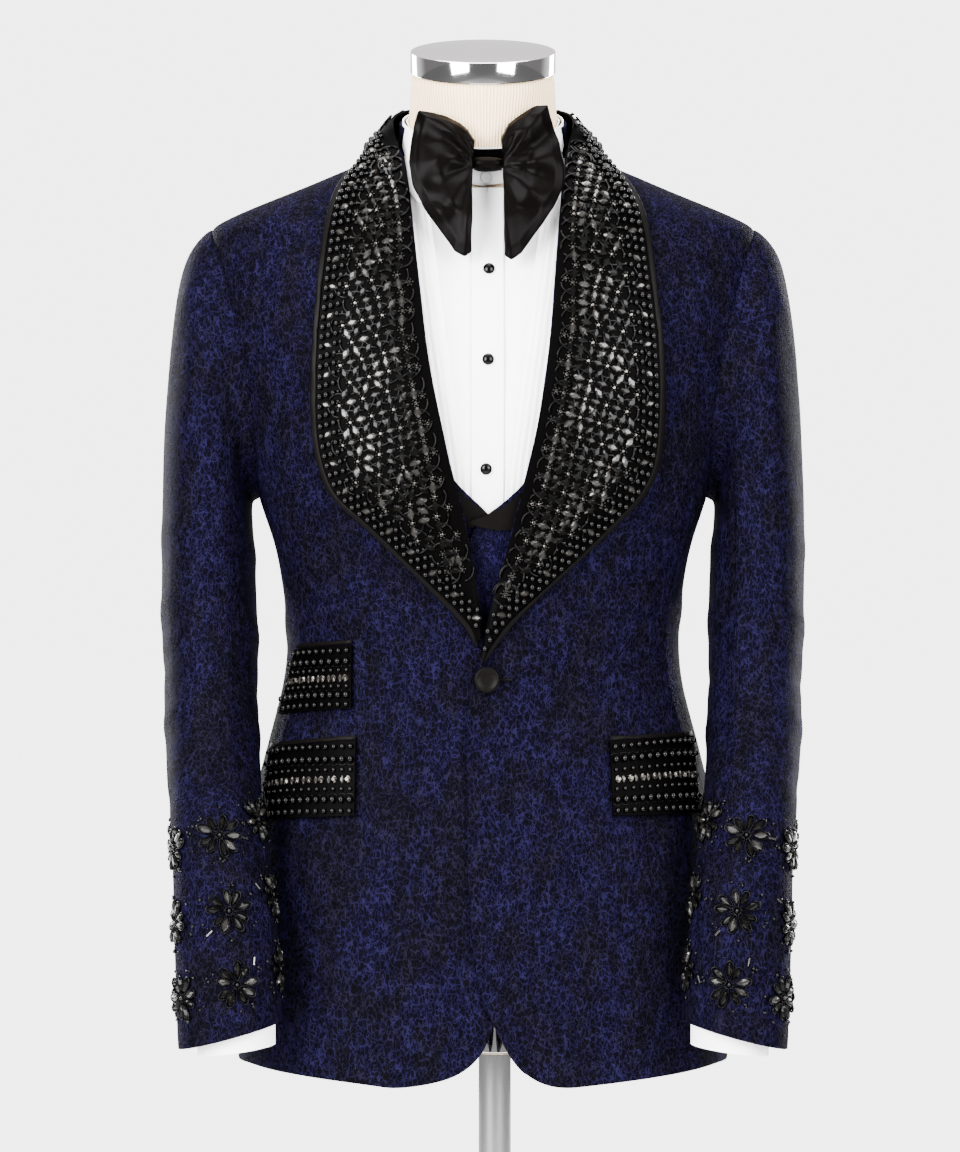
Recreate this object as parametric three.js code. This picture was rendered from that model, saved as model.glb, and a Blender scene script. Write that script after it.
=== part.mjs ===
import * as THREE from 'three';

// Evening jacket, waistcoat, dress shirt and bow tie worn by a limbless dress form on a pole.
// Millimetres. +X is the wearer's left, -Y is the front, +Z is up, and the floor is z = 0.
// Most cloth is laid on one outline of the torso: a lift is a distance out from the jacket's face.

const SEAM = 0.3;
const HEM_Z = 316;
const HEM_RISE = { side: 13, back: 6, fadeHeight: 120 };
const ARMHOLE = { bottom: 778, top: 1000, front: 58, back: 75 };
const SIDE_SEAM_Y = { front: -50, back: 64.6 };
const NECKLINE_Z = 1062;

const WALL = { jacket: 2, lapel: 2.4, flap: 2.2, jet: 1.4, waistcoat: 1.4, satin: 1.2, shirt: 1.2, collar: 0.9 };
const LIFT = {
  waistcoat: { chest: -5, shoulder: -3.1 },
  waistcoatUnder: -4,
  shirt: { waist: -13.5, chest: -9, rear: -13.5, shoulder: -8, throat: -1.5 },
  formThroat: -5.4,
};
const FRONT_LAP = { lift: 3, from: 58, to: 30, fadeFrom: 720, fadeTo: 660 };
const ROLL = { base: 1.7, belly: 2 };
const PIPING = { width: 5, proud: 0.4 };

const NECK = { y: -2, z: 1043, tilt: (16 * Math.PI) / 180, baseRadius: 60.1, topRadius: 58, topHeight: 81.7 };
const NECK_CAP = { radius: 58.3, band: 17, dome: 2.2 };
const STAND = {
  x: 9.5,
  baseRadius: 155,
  baseEdge: 10,
  baseDome: 17,
  poleRadius: 13,
  joint: 331,
  flangeRadius: 55,
  flangeThick: 6,
};
const FORM_BOTTOM_Z = 372;

const table = (names, rows) => {
  const columns = names.split(' ');
  return rows.map((row) => Object.fromEntries(columns.map((column, index) => [column, row[index]])));
};

// Outline of the torso at each height: half width, depth to the front and back, and squareness
const TORSO = table('z side front back power', [
  [300, 198.5, 132.5, 132.5, 2.3],
  [400, 199, 127, 132, 2.3],
  [460, 196, 124, 130, 2.3],
  [520, 189, 118, 124, 2.3],
  [575, 176.6, 112, 114, 2.25],
  [624, 163, 108, 106, 2.2],
  [673, 158, 108, 103, 2.2],
  [738, 167.7, 114, 107, 2.3],
  [778, 181, 120, 112, 2.4],
  [820, 189.5, 123, 116, 2.4],
  [880, 203.5, 121, 120, 2.4],
  [930, 216, 112, 118, 2.4],
  [970, 222, 100, 108, 2.3],
  [1000, 219, 88, 95, 2.2],
  [1020, 171, 78, 86, 2.2],
  [1040, 123, 69, 76, 2.1],
  [1062, 71, 60, 64, 2],
  [1075, 63, 55, 59, 2],
]);

// Front edge of the jacket: the lap, the rounded corner at the hem, and the roll line above the button
const EDGE_OVER = table('z x', [
  [316, 60], [319, 47.7], [327.6, 33.6], [341, 22], [362, 11.7], [385, -0.8], [420, -7], [463, -10],
  [545, -11.8], [604, -11.8], [627, -9.8], [645, -4], [660, 1.5], [682, 5.5], [729, 17.3], [768, 27.5],
  [800, 35.4], [832, 43.3], [863, 48], [895, 52.8], [957, 57.5], [1000, 61], [1040, 65], [1062, 67.5],
]);
const EDGE_UNDER = table('z x', [
  [316, 66], [321, 34], [330, 14.5], [341, 3], [357, -5.5], [385, -10], [420, -12], [604, -12],
  [630, -8], [650, -2], [666, 2], [698, 4.5], [745, 10.2], [775, 18], [800, 26], [832, 32.3],
  [863, 39.4], [895, 45], [926, 48], [957, 52], [1000, 56.5], [1040, 61.5], [1062, 66.5],
]);

// Turned lapel, from its roll line to its edge, up to the shoulder
const LAPEL_OVER = table('rollX rollZ edgeX edgeZ', [
  [0.5, 655, -3.1, 641],
  [3.5, 671, 9.5, 661],
  [7, 690, 29, 686],
  [15, 722, 68, 721],
  [25, 760, 107.5, 760.6],
  [30, 779, 127, 780],
  [35.4, 800, 139, 802],
  [44, 839, 141.8, 839],
  [52.6, 894, 141.5, 894],
  [57.3, 950, 135.5, 950],
  [61, 1000, 128, 1006],
  [63.8, 1030, 110, 1038],
]);
const LAPEL_UNDER = table('rollX rollZ edgeX edgeZ', [
  [2.6, 672, 5, 659],
  [3.6, 688, 12, 676],
  [5.2, 706, 33.7, 697.7],
  [9.6, 736, 65, 729],
  [17, 770, 96.6, 760.6],
  [22, 788, 114, 773],
  [27, 804, 126, 790],
  [33, 835, 133.6, 822],
  [42, 877, 134.4, 868],
  [49, 930, 132.5, 922],
  [56.5, 1000, 123, 1008],
  [60.5, 1030, 108, 1038],
]);

// Collar round the neck: the fold by angle about the neck, the edge by angle about the torso
const NECK_COLLAR = table('foldAngle foldHeight foldRadius edgeAngle edgeZ', [
  [-24, 30, 72, 22, 1047],
  [-8, 41, 71, 8, 1050.5],
  [12, 43, 71, -8, 1052],
  [32, 43, 71, -26, 1052],
  [52, 42, 71, -46, 1051],
  [72, 41, 71, -68, 1050.5],
  [90, 40, 71, -90, 1050],
]);

// Sleeve rings from the armhole to the hem: outer and inner point, and depth to the front and back
const SLEEVE = table('outerX outerZ innerX innerZ front back', [
  [224.5, 999, 187.5, 776.5, 60.5, 77],
  [239, 984, 187.3, 765, 66, 80],
  [247, 958, 186.5, 757, 69.5, 79],
  [252.7, 916, 186, 751, 71, 77],
  [258, 850, 185, 744, 71.5, 73],
  [260.8, 786, 184, 732, 71, 68],
  [260.5, 715, 182.5, 700, 73, 63],
  [259.5, 655, 181, 650, 80, 50],
  [257, 600, 179.5, 600, 98, 26],
  [252.5, 550, 176, 550, 128, -16],
  [247, 506, 169, 506, 147, -42],
  [244, 461, 163, 461, 161, -65],
  [242, 412, 158.8, 416, 166, -74],
  [240, 348, 157, 370, 166, -76],
]);
const SLEEVE_SEAM_GAP = 0.3;
const SHIRT_SLEEVE_GAP = { armhole: 5, edge: 1.5, below: 8 };
const CUFF = { x: 193, y: -121, halfWidth: 31, halfDepth: 35, bottomOuter: 342, bottomInner: 350.6, top: 402 };
const CUFF_WALL = 2.2;

const FLAPS = table('name side topInner topOuter bottomInner bottomOuter', [
  ['ticket_flap', -1, [102.6, 662.3], [148, 657.8], [102.6, 612], [161, 605]],
  ['right_hip_flap', -1, [99.4, 586.7], [169, 578], [100, 528], [175, 521.5]],
  ['left_hip_flap', 1, [99.3, 586], [166, 588], [101.4, 528], [170, 527.5]],
]);
const JET_HEIGHT = 4;
const BUTTON = { x: 3, z: 635, radius: 10.2, thick: 3.6, shank: 3, stem: 4 };

// Neck opening of the waistcoat and the outer edge of its satin lapels
const VEST_OVER = table('edgeX edgeZ outerX outerZ', [
  [-12, 758.6, -11, 756.6],
  [-4, 761.6, -2, 754.5],
  [4.5, 765, 9, 751.5],
  [16, 771.5, 24, 752],
  [25, 778, 40, 758],
  [33, 787, 52, 768],
  [48, 806, 68, 790],
  [62, 835, 84, 825],
  [72, 880, 94, 875],
  [79, 960, 98, 958],
  [78, 1020, 96, 1016],
]);
const VEST_UNDER = table('edgeX edgeZ outerX outerZ', [
  [-3.4, 765.6, 8, 753],
  [5, 771.8, 21, 756],
  [16, 781.6, 36, 764],
  [24.6, 792, 46, 775],
  [40, 812, 61, 797],
  [56, 842, 78, 833],
  [70, 890, 92, 885],
  [79, 960, 98, 958],
  [78, 1020, 96, 1016],
]);
const VEST = { hemFront: 514, hemSide: 530, topZ: 1052, lapX: -13, lapInset: 17, lapShare: 0.9, armholeGrow: 26 };

const SHIRT = { hem: 478, topFront: 1029.5, topSide: 1062, centreX: 3.75 };
const PLEAT = { count: 6, pitch: 5, rise: 0.9, slope: 0.133, fade: { from: 1010, to: 1028 } };
const PLEAT_START = { over: 17, under: 12.5, z: 785 };
const PLACKET = { from: -9, to: 16.2 };
const STUDS = table('x z', [[4.7, 961], [4, 887.5], [2.4, 800]]);
const STUD = { radius: 4.9, height: 3.4 };
const COLLAR_BUTTON = { radius: 4.8, height: 2, x: 2.4, neckHeight: 8.5 };

// Shirt collar leaf, by angle about the neck: the fold above and the edge below
const LEAF = table('angle foldHeight foldRadius edgeHeight edgeRadius', [
  [-70, 32.5, 65.6, 20, 68.5],
  [-63, 34, 65.6, -13, 93.5],
  [-46, 37.5, 65.6, 2, 87],
  [-26, 41, 65.6, 18, 69],
  [-6, 43, 65.6, 24, 66.4],
  [30, 43.5, 65.4, 22, 66.2],
  [60, 43.5, 65.4, 18, 66.2],
  [90, 43.5, 65.4, 16, 66.2],
]);
const SHIRT_STAND = { radius: 61.9, frontTop: 32, sideTop: 43, frontBase: 1.5, sideBase: 24 };
const STRAP = { radius: 63.1, wall: 0.9, front: 15, side: 26, width: 16 };

// Bow wings: length of each ray from the knot, by angle up from level
const BOW_RAYS = table('angle right left', [
  [91, 19, 21], [80, 28, 33], [70, 35, 41.5], [60, 44, 54], [52, 52, 60.6], [44, 62.5, 55],
  [32, 57, 50.5], [18, 53, 49], [0, 52, 50.3], [-20, 52, 52.6], [-40, 53.3, 54], [-56, 57.5, 58.5],
  [-68, 63.6, 65], [-77, 72.5, 73.5], [-84, 74.9, 77.5], [-88, 71, 74],
]);
const BOW_PROFILE = table('reach thick swell', [[0, 7, 0], [0.25, 11, 2], [0.55, 12, 3.5], [0.85, 9, 2], [1, 3.5, 0]]);
const KNOT = { x: 3.8, z: 1042.6, halfWidth: 11.9, halfHeight: 6.2, back: -68.3, front: -87, rootHeight: 4.6, rootOut: 1.8 };
const BOW_PLANE = { y: -86, lean: 0.27 };

const FORM_RINGS = [372, 380, 420, 470, 520, 575, 640, 684, 726, 768, 810, 860, 905, 940, 970];
const FORM_LIFTS = table('z lift', [
  [360, -30], [460, -27], [575, -24], [673, -23], [778, -25], [900, -25], [970, -25], [990, -24], [1013, -22],
  [1040, -19], [1075, -18],
]);

const finish = (color, roughness, metalness = 0) => new THREE.MeshStandardMaterial({ color, roughness, metalness });
const JACQUARD = finish(0x1c1f45, 0.55);
const BROCADE = finish(0x23286b, 0.5);
const SATIN = finish(0x191615, 0.35);
const BEADED = finish(0x2b2927, 0.45);
const SHIRTING = finish(0xf1eff4, 0.7);
const JET = finish(0x080808, 0.2);
const JERSEY = finish(0xefe4cf, 0.9);
const CHROME = finish(0xd6d8da, 0.12, 1);
const STEEL = finish(0xb9bbbe, 0.3, 1);

const clamp = (value, low, high) => Math.min(Math.max(value, low), high);
const lerp = (from, to, share) => from + (to - from) * share;
const power = (value, exponent) => Math.sign(value) * Math.abs(value) ** exponent;
const radians = (degrees) => (degrees * Math.PI) / 180;
const steps = (count, from = 0, to = 1) =>
  Array.from({ length: count + 1 }, (_, index) => lerp(from, to, index / count));
const ramp = (value, from, to) => {
  const share = clamp((value - from) / (to - from), 0, 1);
  return share * share * (3 - 2 * share);
};

// Smooth function through the rows of a table whose first column rises
function track(rows, from, to) {
  const keys = rows.map((row) => row[from]);
  const values = rows.map((row) => row[to]);
  const last = keys.length - 1;
  const slopes = values.map((_, index) => {
    const before = Math.max(index - 1, 0);
    const after = Math.min(index + 1, last);
    return (values[after] - values[before]) / (keys[after] - keys[before]);
  });
  return (key) => {
    const spot = clamp(key, keys[0], keys[last]);
    const next = Math.max(keys.findIndex((edge) => edge >= spot), 1);
    const span = keys[next] - keys[next - 1];
    const t = (spot - keys[next - 1]) / span;
    const rise = slopes[next - 1] * span;
    const fall = slopes[next] * span;
    const bend = 3 * (values[next] - values[next - 1]) - 2 * rise - fall;
    const twist = rise + fall - 2 * (values[next] - values[next - 1]);
    return values[next - 1] + rise * t + bend * t * t + twist * t * t * t;
  };
}

const torso = Object.fromEntries(
  ['side', 'front', 'back', 'power'].map((name) => [name, track(TORSO, 'z', name)]),
);

function section(z) {
  return { side: torso.side(z), front: torso.front(z), back: torso.back(z), power: torso.power(z) };
}

// Share of the way out to the torso's outline: 1 on the outline
function reach(x, y, z) {
  const ring = section(z);
  const depth = y < 0 ? ring.front : ring.back;
  return Math.abs(x / ring.side) ** ring.power + Math.abs(y / depth) ** ring.power;
}

function outwards(x, y, z) {
  const ring = section(z);
  const depth = y < 0 ? ring.front : ring.back;
  return new THREE.Vector3(
    (ring.power / ring.side) * power(x / ring.side, ring.power - 1),
    (ring.power / depth) * power(y / depth, ring.power - 1),
    (reach(x, y, z + 1) - reach(x, y, z - 1)) / 2,
  ).normalize();
}

// Point on the torso: angle 0 is the side, a quarter turn is the centre front, less a quarter the back
function skin(side, angle, z, lift = 0) {
  const ring = section(z);
  const depth = Math.sin(angle) > 0 ? ring.front : ring.back;
  const x = side * ring.side * power(Math.cos(angle), 2 / ring.power);
  const y = -depth * power(Math.sin(angle), 2 / ring.power);
  return new THREE.Vector3(x, y, z).addScaledVector(outwards(x, y, z), lift);
}

// Angle on the torso's front where it lies x out from the centre
function angleAtWidth(x, z) {
  const ring = section(z);
  return Math.acos(power(clamp(x / ring.side, -1, 1), ring.power / 2));
}

// Angle on the torso where it lies y behind the shoulder line
function angleAtDepth(y, z) {
  const ring = section(z);
  const depth = y < 0 ? ring.front : ring.back;
  return -Math.sign(y) * Math.asin(clamp(Math.abs(y) / depth, 0, 1) ** (ring.power / 2));
}

function neckPoint(angle, height, radius) {
  const across = radius * Math.cos(radians(angle));
  const along = radius * Math.sin(radians(angle));
  const cos = Math.cos(NECK.tilt);
  const sin = Math.sin(NECK.tilt);
  return new THREE.Vector3(across, NECK.y - height * sin + along * cos, NECK.z + height * cos + along * sin);
}

// Depth of the armhole's oval at height z, larger by grow all round, less than 0 at the front
function armholeDepth(z, end, grow = 0) {
  const middle = (ARMHOLE.bottom + ARMHOLE.top) / 2;
  const half = (ARMHOLE.top - ARMHOLE.bottom) / 2 + grow;
  const share = clamp((z - middle) / half, -1, 1);
  const width = Math.sqrt(1 - share * share);
  return end === 'front' ? -(ARMHOLE.front + grow) * width : (ARMHOLE.back + grow) * width;
}

function group(name) {
  const made = new THREE.Group();
  made.name = name;
  return made;
}

// Closed body between an outer and an inner face, each a list of rows of points
function solidBetween(name, material, outer, inner, loop = false) {
  const rows = outer.length;
  const columns = outer[0].length;
  const points = [...outer.flat(), ...inner.flat()];
  const at = (face, row, column) => face * rows * columns + row * columns + (column % columns);
  const triangles = [];
  const quad = (a, b, c, d) => triangles.push([a, b, c], [a, c, d]);
  const columnEnd = loop ? columns : columns - 1;
  for (let row = 0; row < rows - 1; row += 1) {
    for (let column = 0; column < columnEnd; column += 1) {
      quad(at(0, row, column), at(0, row, column + 1), at(0, row + 1, column + 1), at(0, row + 1, column));
      quad(at(1, row, column), at(1, row + 1, column), at(1, row + 1, column + 1), at(1, row, column + 1));
    }
  }
  for (let column = 0; column < columnEnd; column += 1) {
    const end = rows - 1;
    quad(at(0, 0, column), at(1, 0, column), at(1, 0, column + 1), at(0, 0, column + 1));
    quad(at(0, end, column), at(0, end, column + 1), at(1, end, column + 1), at(1, end, column));
  }
  for (let row = 0; !loop && row < rows - 1; row += 1) {
    const end = columns - 1;
    quad(at(0, row, 0), at(0, row + 1, 0), at(1, row + 1, 0), at(1, row, 0));
    quad(at(0, row, end), at(1, row, end), at(1, row + 1, end), at(0, row + 1, end));
  }
  return closedMesh(name, material, points, triangles);
}

// Closed body of stacked rings with a flat end at each side
function stackedRings(name, material, rings) {
  const count = rings[0].length;
  const points = rings.flat();
  const triangles = [];
  for (let ring = 0; ring < rings.length - 1; ring += 1) {
    for (let k = 0; k < count; k += 1) {
      const next = (k + 1) % count;
      const base = ring * count;
      triangles.push([base + k, base + next, base + count + next], [base + k, base + count + next, base + count + k]);
    }
  }
  for (const ring of [0, rings.length - 1]) {
    const hub = points.length;
    points.push(rings[ring].reduce((sum, point) => sum.add(point), new THREE.Vector3()).divideScalar(count));
    for (let k = 0; k < count; k += 1) {
      const pair = [ring * count + k, ring * count + ((k + 1) % count)];
      triangles.push(ring === 0 ? [hub, pair[1], pair[0]] : [hub, pair[0], pair[1]]);
    }
  }
  return closedMesh(name, material, points, triangles);
}

// Mesh of shared points, turned so that its faces point out
function closedMesh(name, material, points, triangles) {
  const volume = triangles.reduce(
    (sum, [a, b, c]) => sum + points[a].dot(new THREE.Vector3().crossVectors(points[b], points[c])),
    0,
  );
  const facing = volume > 0 ? triangles : triangles.map(([a, b, c]) => [a, c, b]);
  const geometry = new THREE.BufferGeometry().setFromPoints(points);
  geometry.setIndex(facing.flat());
  geometry.computeVertexNormals();
  const mesh = new THREE.Mesh(geometry, material);
  mesh.name = name;
  return mesh;
}

// Cloth wall from a function of row, column and lift
function clothWall(name, material, rows, columns, at, thick, loop = false) {
  const face = (lift) => rows.map((row) => columns.map((column) => at(row, column, lift)));
  return solidBetween(name, material, face(0), face(-thick), loop);
}

// Cloth wall from the points of one face, thickened along that face's own normals
function thickened(name, material, face, thick) {
  const behind = face.map((row, r) =>
    row.map((point, c) => {
      const down = face[Math.min(r + 1, face.length - 1)][c].clone().sub(face[Math.max(r - 1, 0)][c]);
      const across = row[Math.min(c + 1, row.length - 1)].clone().sub(row[Math.max(c - 1, 0)]);
      const normal = across.cross(down).normalize();
      return point.clone().addScaledVector(normal, thick);
    }),
  );
  return solidBetween(name, material, face, behind);
}

const hemZ = (z, rise) => z + rise * (1 - ramp(z, HEM_Z, HEM_Z + HEM_RISE.fadeHeight));

// Outward lift where the left front laps over the right front
function lap(side, x, z) {
  const across = ramp(x, FRONT_LAP.from, FRONT_LAP.to);
  const up = ramp(z, FRONT_LAP.fadeFrom, FRONT_LAP.fadeTo);
  return side > 0 ? FRONT_LAP.lift * across * up : 0;
}

// Angle of a jacket panel's edge at the side seam, the armhole or the shoulder seam
function sideEdge(z, end) {
  const sign = end === 'front' ? -1 : 1;
  const seamY = SIDE_SEAM_Y[end];
  const onArmhole = z > (ARMHOLE.bottom + ARMHOLE.top) / 2 || Math.abs(armholeDepth(z, end)) > Math.abs(seamY);
  const y = z >= ARMHOLE.top ? 0 : onArmhole && z > ARMHOLE.bottom ? armholeDepth(z, end) : seamY;
  return angleAtDepth(y + (sign * SEAM) / 2, z);
}

const SIDE_TOP_Z = 832.7;
const ARMHOLE_ROWS = [SIDE_TOP_Z, 868, 903, 938, 970, 991, ARMHOLE.top];
const LOWER_ROWS = [316, 345, 385, 424, 463, 503, 545, 590, 622, 650, 684, 724, 768, 800];
const SHOULDER_ROWS = [1013, 1026, 1040, 1051, NECKLINE_Z];
const CORNER_ROWS = [322, 332, 362];
const BACK_ROWS = [...LOWER_ROWS, ...ARMHOLE_ROWS, ...SHOULDER_ROWS];
const FRONT_ROWS = [...BACK_ROWS, ...CORNER_ROWS].sort((a, b) => a - b);

function jacketFront(name, side) {
  const edge = track(side > 0 ? EDGE_OVER : EDGE_UNDER, 'z', 'x');
  const at = (row, share, lift) => {
    const z = hemZ(row, HEM_RISE.side * (1 - share));
    const angle = lerp(sideEdge(z, 'front'), angleAtWidth(edge(z), z), share);
    const x = skin(1, angle, z).x;
    return skin(side, angle, z, lift + lap(side, x, z));
  };
  return clothWall(name, JACQUARD, FRONT_ROWS, [0, 0.15, 0.33, 0.52, 0.72, 0.87, 1], at, WALL.jacket);
}

function jacketBack(name, side) {
  const at = (row, share, lift) => {
    const z = hemZ(row, lerp(HEM_RISE.side, HEM_RISE.back, share));
    const centre = -angleAtWidth(SEAM / 2, z);
    return skin(side, lerp(sideEdge(z, 'back'), centre, share), z, lift);
  };
  return clothWall(name, JACQUARD, BACK_ROWS, steps(5), at, WALL.jacket);
}

const sideColumns = () => steps(6, SIDE_SEAM_Y.front + SEAM / 2, SIDE_SEAM_Y.back - SEAM / 2);

function jacketSide(name, side) {
  const middle = (ARMHOLE.bottom + ARMHOLE.top) / 2;
  const half = (ARMHOLE.top - ARMHOLE.bottom) / 2;
  const topOf = (y) => {
    const depth = y < 0 ? ARMHOLE.front : ARMHOLE.back;
    return middle - (half + SEAM / 2) * Math.sqrt(1 - (y / depth) ** 2);
  };
  const scaledFrom = LOWER_ROWS.at(-3);
  const at = (row, y, lift) => {
    const share = Math.max(row - scaledFrom, 0) / (SIDE_TOP_Z - scaledFrom);
    const z = share > 0 ? lerp(scaledFrom, topOf(y), share) : hemZ(row, HEM_RISE.side);
    return skin(side, angleAtDepth(y, z), z, lift);
  };
  return clothWall(name, JACQUARD, [...LOWER_ROWS, SIDE_TOP_Z], sideColumns(), at, WALL.jacket);
}

// Point of a sleeve ring: angle 0 is outside, 180 is against the body, less than 0 is the front
function ringPoint(ring, angle, lift = 0) {
  const cos = Math.cos(radians(angle));
  const sin = Math.sin(radians(angle));
  const across = new THREE.Vector3(ring.outerX - ring.innerX, 0, ring.outerZ - ring.innerZ).divideScalar(2);
  const middleY = (ring.back - ring.front) / 2;
  const depth = (ring.back + ring.front) / 2;
  const normal = across.clone().normalize().multiplyScalar(cos / across.length());
  normal.y = sin / depth;
  const point = new THREE.Vector3((ring.outerX + ring.innerX) / 2, middleY, (ring.outerZ + ring.innerZ) / 2);
  point.addScaledVector(across, cos).setY(middleY + depth * sin);
  return point.addScaledVector(normal.normalize(), lift);
}

// Point of a sleeve's edge in the armhole, larger by grow, on the torso's face moved out by bodyLift
function armholePoint(angle, grow, bodyLift) {
  const middle = (ARMHOLE.bottom + ARMHOLE.top) / 2;
  const half = (ARMHOLE.top - ARMHOLE.bottom) / 2;
  const cos = Math.cos(radians(angle));
  const sin = Math.sin(radians(angle));
  const depth = sin < 0 ? ARMHOLE.front : ARMHOLE.back;
  const z = middle + (half + grow) * cos;
  const y = (depth + grow) * sin;
  const ring = section(z);
  const reachY = Math.abs(y) / (y < 0 ? ring.front : ring.back);
  const x = ring.side * (1 - reachY ** ring.power) ** (1 / ring.power);
  return new THREE.Vector3(x + bodyLift, y, z);
}

// Lengthwise lines of the sleeve, from where the torso's own rows and columns meet the armhole
function sleeveAngles() {
  const middle = (ARMHOLE.bottom + ARMHOLE.top) / 2;
  const half = (ARMHOLE.top - ARMHOLE.bottom) / 2;
  const upper = ARMHOLE_ROWS.map((z) => (Math.acos(clamp((z - middle) / half, -1, 1)) * 180) / Math.PI);
  const lower = sideColumns().map((y) => {
    const angle = (Math.asin(y / (y < 0 ? ARMHOLE.front : ARMHOLE.back)) * 180) / Math.PI;
    return 180 - angle;
  });
  const top = [...upper.map((angle) => -angle), ...upper.slice(0, -1).reverse()];
  const under = [...lower].reverse();
  under[0] = top.at(-1) + SLEEVE_SEAM_GAP;
  under[under.length - 1] = top[0] + 360 - SLEEVE_SEAM_GAP;
  return { top, under };
}

const sleeveLines = Object.fromEntries(
  Object.keys(SLEEVE[0]).map((name) => {
    const rows = SLEEVE.map((row, step) => ({ step, value: row[name] }));
    return [name, track(rows, 'step', 'value')];
  }),
);

// Sleeve face by step down its rings, from -1 at the armhole, and by angle
function sleeveFace(step, angle) {
  const ring = Object.fromEntries(Object.entries(sleeveLines).map(([name, line]) => [name, line(step)]));
  const point = ringPoint(ring, angle);
  return step < 0 ? point.lerp(armholePoint(angle, -SEAM, 0), -step) : point;
}

function sleeveSkin(side, step, angle, lift) {
  const near = 0.02;
  const base = Math.min(step, SLEEVE.length - 1 - near);
  const along = sleeveFace(base + near, angle).sub(sleeveFace(base, angle));
  const around = sleeveFace(step, angle + 1).sub(sleeveFace(step, angle - 1));
  const normal = along.cross(around).normalize();
  return sleeveFace(step, angle).addScaledVector(normal, lift).multiply(new THREE.Vector3(side, 1, 1));
}

function sleevePanel(name, side, angles) {
  const at = (step, angle, lift) => sleeveSkin(side, step, angle, lift);
  return clothWall(name, JACQUARD, [-1, ...SLEEVE.keys()], angles, at, WALL.jacket);
}

function shirtSleeve(name, side) {
  const cuffRing = (z, spread) => ({
    outerX: CUFF.x + CUFF.halfWidth + spread,
    outerZ: z,
    innerX: CUFF.x - CUFF.halfWidth - spread,
    innerZ: z,
    front: CUFF.halfDepth + spread - CUFF.y,
    back: CUFF.y + CUFF.halfDepth + spread,
  });
  const mirror = new THREE.Vector3(side, 1, 1);
  const { armhole, edge, below } = SHIRT_SLEEVE_GAP;
  const at = (row, angle, lift) => {
    if (row === 'armhole') return armholePoint(angle, lift - armhole - edge, LIFT.shirt.chest).multiply(mirror);
    if (row === 'wrist') return ringPoint(cuffRing(CUFF.top + 16, -3), angle, lift).multiply(mirror);
    if (row === 'cuff') return ringPoint(cuffRing(CUFF.top + SEAM, 0), angle, lift).multiply(mirror);
    return sleeveSkin(side, row, angle, lift - below);
  };
  const rows = ['armhole', -0.5, 0.6, 2, 3.5, 5, 6, 7, 8, 9, 10, 11, 'wrist', 'cuff'];
  return clothWall(name, SHIRTING, rows, steps(10, 0, 360).slice(0, 10), at, WALL.shirt, true);
}

function shirtCuff(name, side) {
  const rows = [
    { outerZ: CUFF.top, innerZ: CUFF.top },
    { outerZ: CUFF.bottomOuter, innerZ: CUFF.bottomInner },
  ];
  const at = (row, angle, lift) => {
    const ring = {
      ...row,
      outerX: CUFF.x + CUFF.halfWidth,
      innerX: CUFF.x - CUFF.halfWidth,
      front: CUFF.halfDepth - CUFF.y,
      back: CUFF.y + CUFF.halfDepth,
    };
    return ringPoint(ring, angle, lift).multiply(new THREE.Vector3(side, 1, 1));
  };
  return clothWall(name, SHIRTING, rows, steps(20, 0, 360).slice(0, 20), at, CUFF_WALL, true);
}

const LAPEL_STEPS = [0, 1, 2, 3, 4, 5, 6, 7, 7.6, 8.2, 8.7, 9.2, 9.6, 10, 10.5, 11];

// Rows of points across the shawl collar, from the lapel's tip to the centre back
function collarFace(side, sharesOf, extra) {
  const rows = (side > 0 ? LAPEL_OVER : LAPEL_UNDER).map((row, step) => ({ ...row, step }));
  const line = (name) => track(rows, 'step', name);
  const [rollX, rollZ, edgeX, edgeZ] = ['rollX', 'rollZ', 'edgeX', 'edgeZ'].map(line);
  const lapelRows = LAPEL_STEPS.map((step) => {
    const length = Math.hypot(edgeX(step) - rollX(step), edgeZ(step) - rollZ(step));
    return sharesOf(length).map((share) => {
      const x = lerp(rollX(step), edgeX(step), share);
      const z = lerp(rollZ(step), edgeZ(step), share);
      const angle = angleAtWidth(x, z);
      const roll = ROLL.belly * Math.sin(Math.PI * clamp(share, 0, 1) ** 0.6);
      return skin(side, angle, z, ROLL.base + roll + lap(side, x, z) + extra);
    });
  });
  const neckRows = NECK_COLLAR.map((row) => {
    const fold = neckPoint(row.foldAngle, row.foldHeight, row.foldRadius + extra);
    const edge = skin(1, radians(row.edgeAngle), row.edgeZ, ROLL.base + extra);
    return sharesOf(fold.distanceTo(edge)).map((share) => {
      const point = fold.clone().lerp(edge, share);
      point.z += 3 * Math.sin(Math.PI * clamp(share, 0, 1));
      point.x = Math.max(point.x, SEAM / 2);
      return point.multiply(new THREE.Vector3(side, 1, 1));
    });
  });
  return [...lapelRows, ...neckRows];
}

function shawlCollar(name, side) {
  const shares = (length) => [0, 0.12, 0.35, 0.68, 1].map((share) => share * (1 - (PIPING.width + 3.3 * SEAM) / length));
  return thickened(name, BEADED, collarFace(side, shares, WALL.lapel), side * WALL.lapel);
}

// Satin piping that runs along the collar's outer edge
function collarPiping(name, side) {
  const shares = (length) => [1 - PIPING.width / length, 1];
  const outer = collarFace(side, shares, WALL.lapel + PIPING.proud);
  const inner = collarFace(side, shares, 0);
  return solidBetween(name, SATIN, outer, inner);
}

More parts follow.
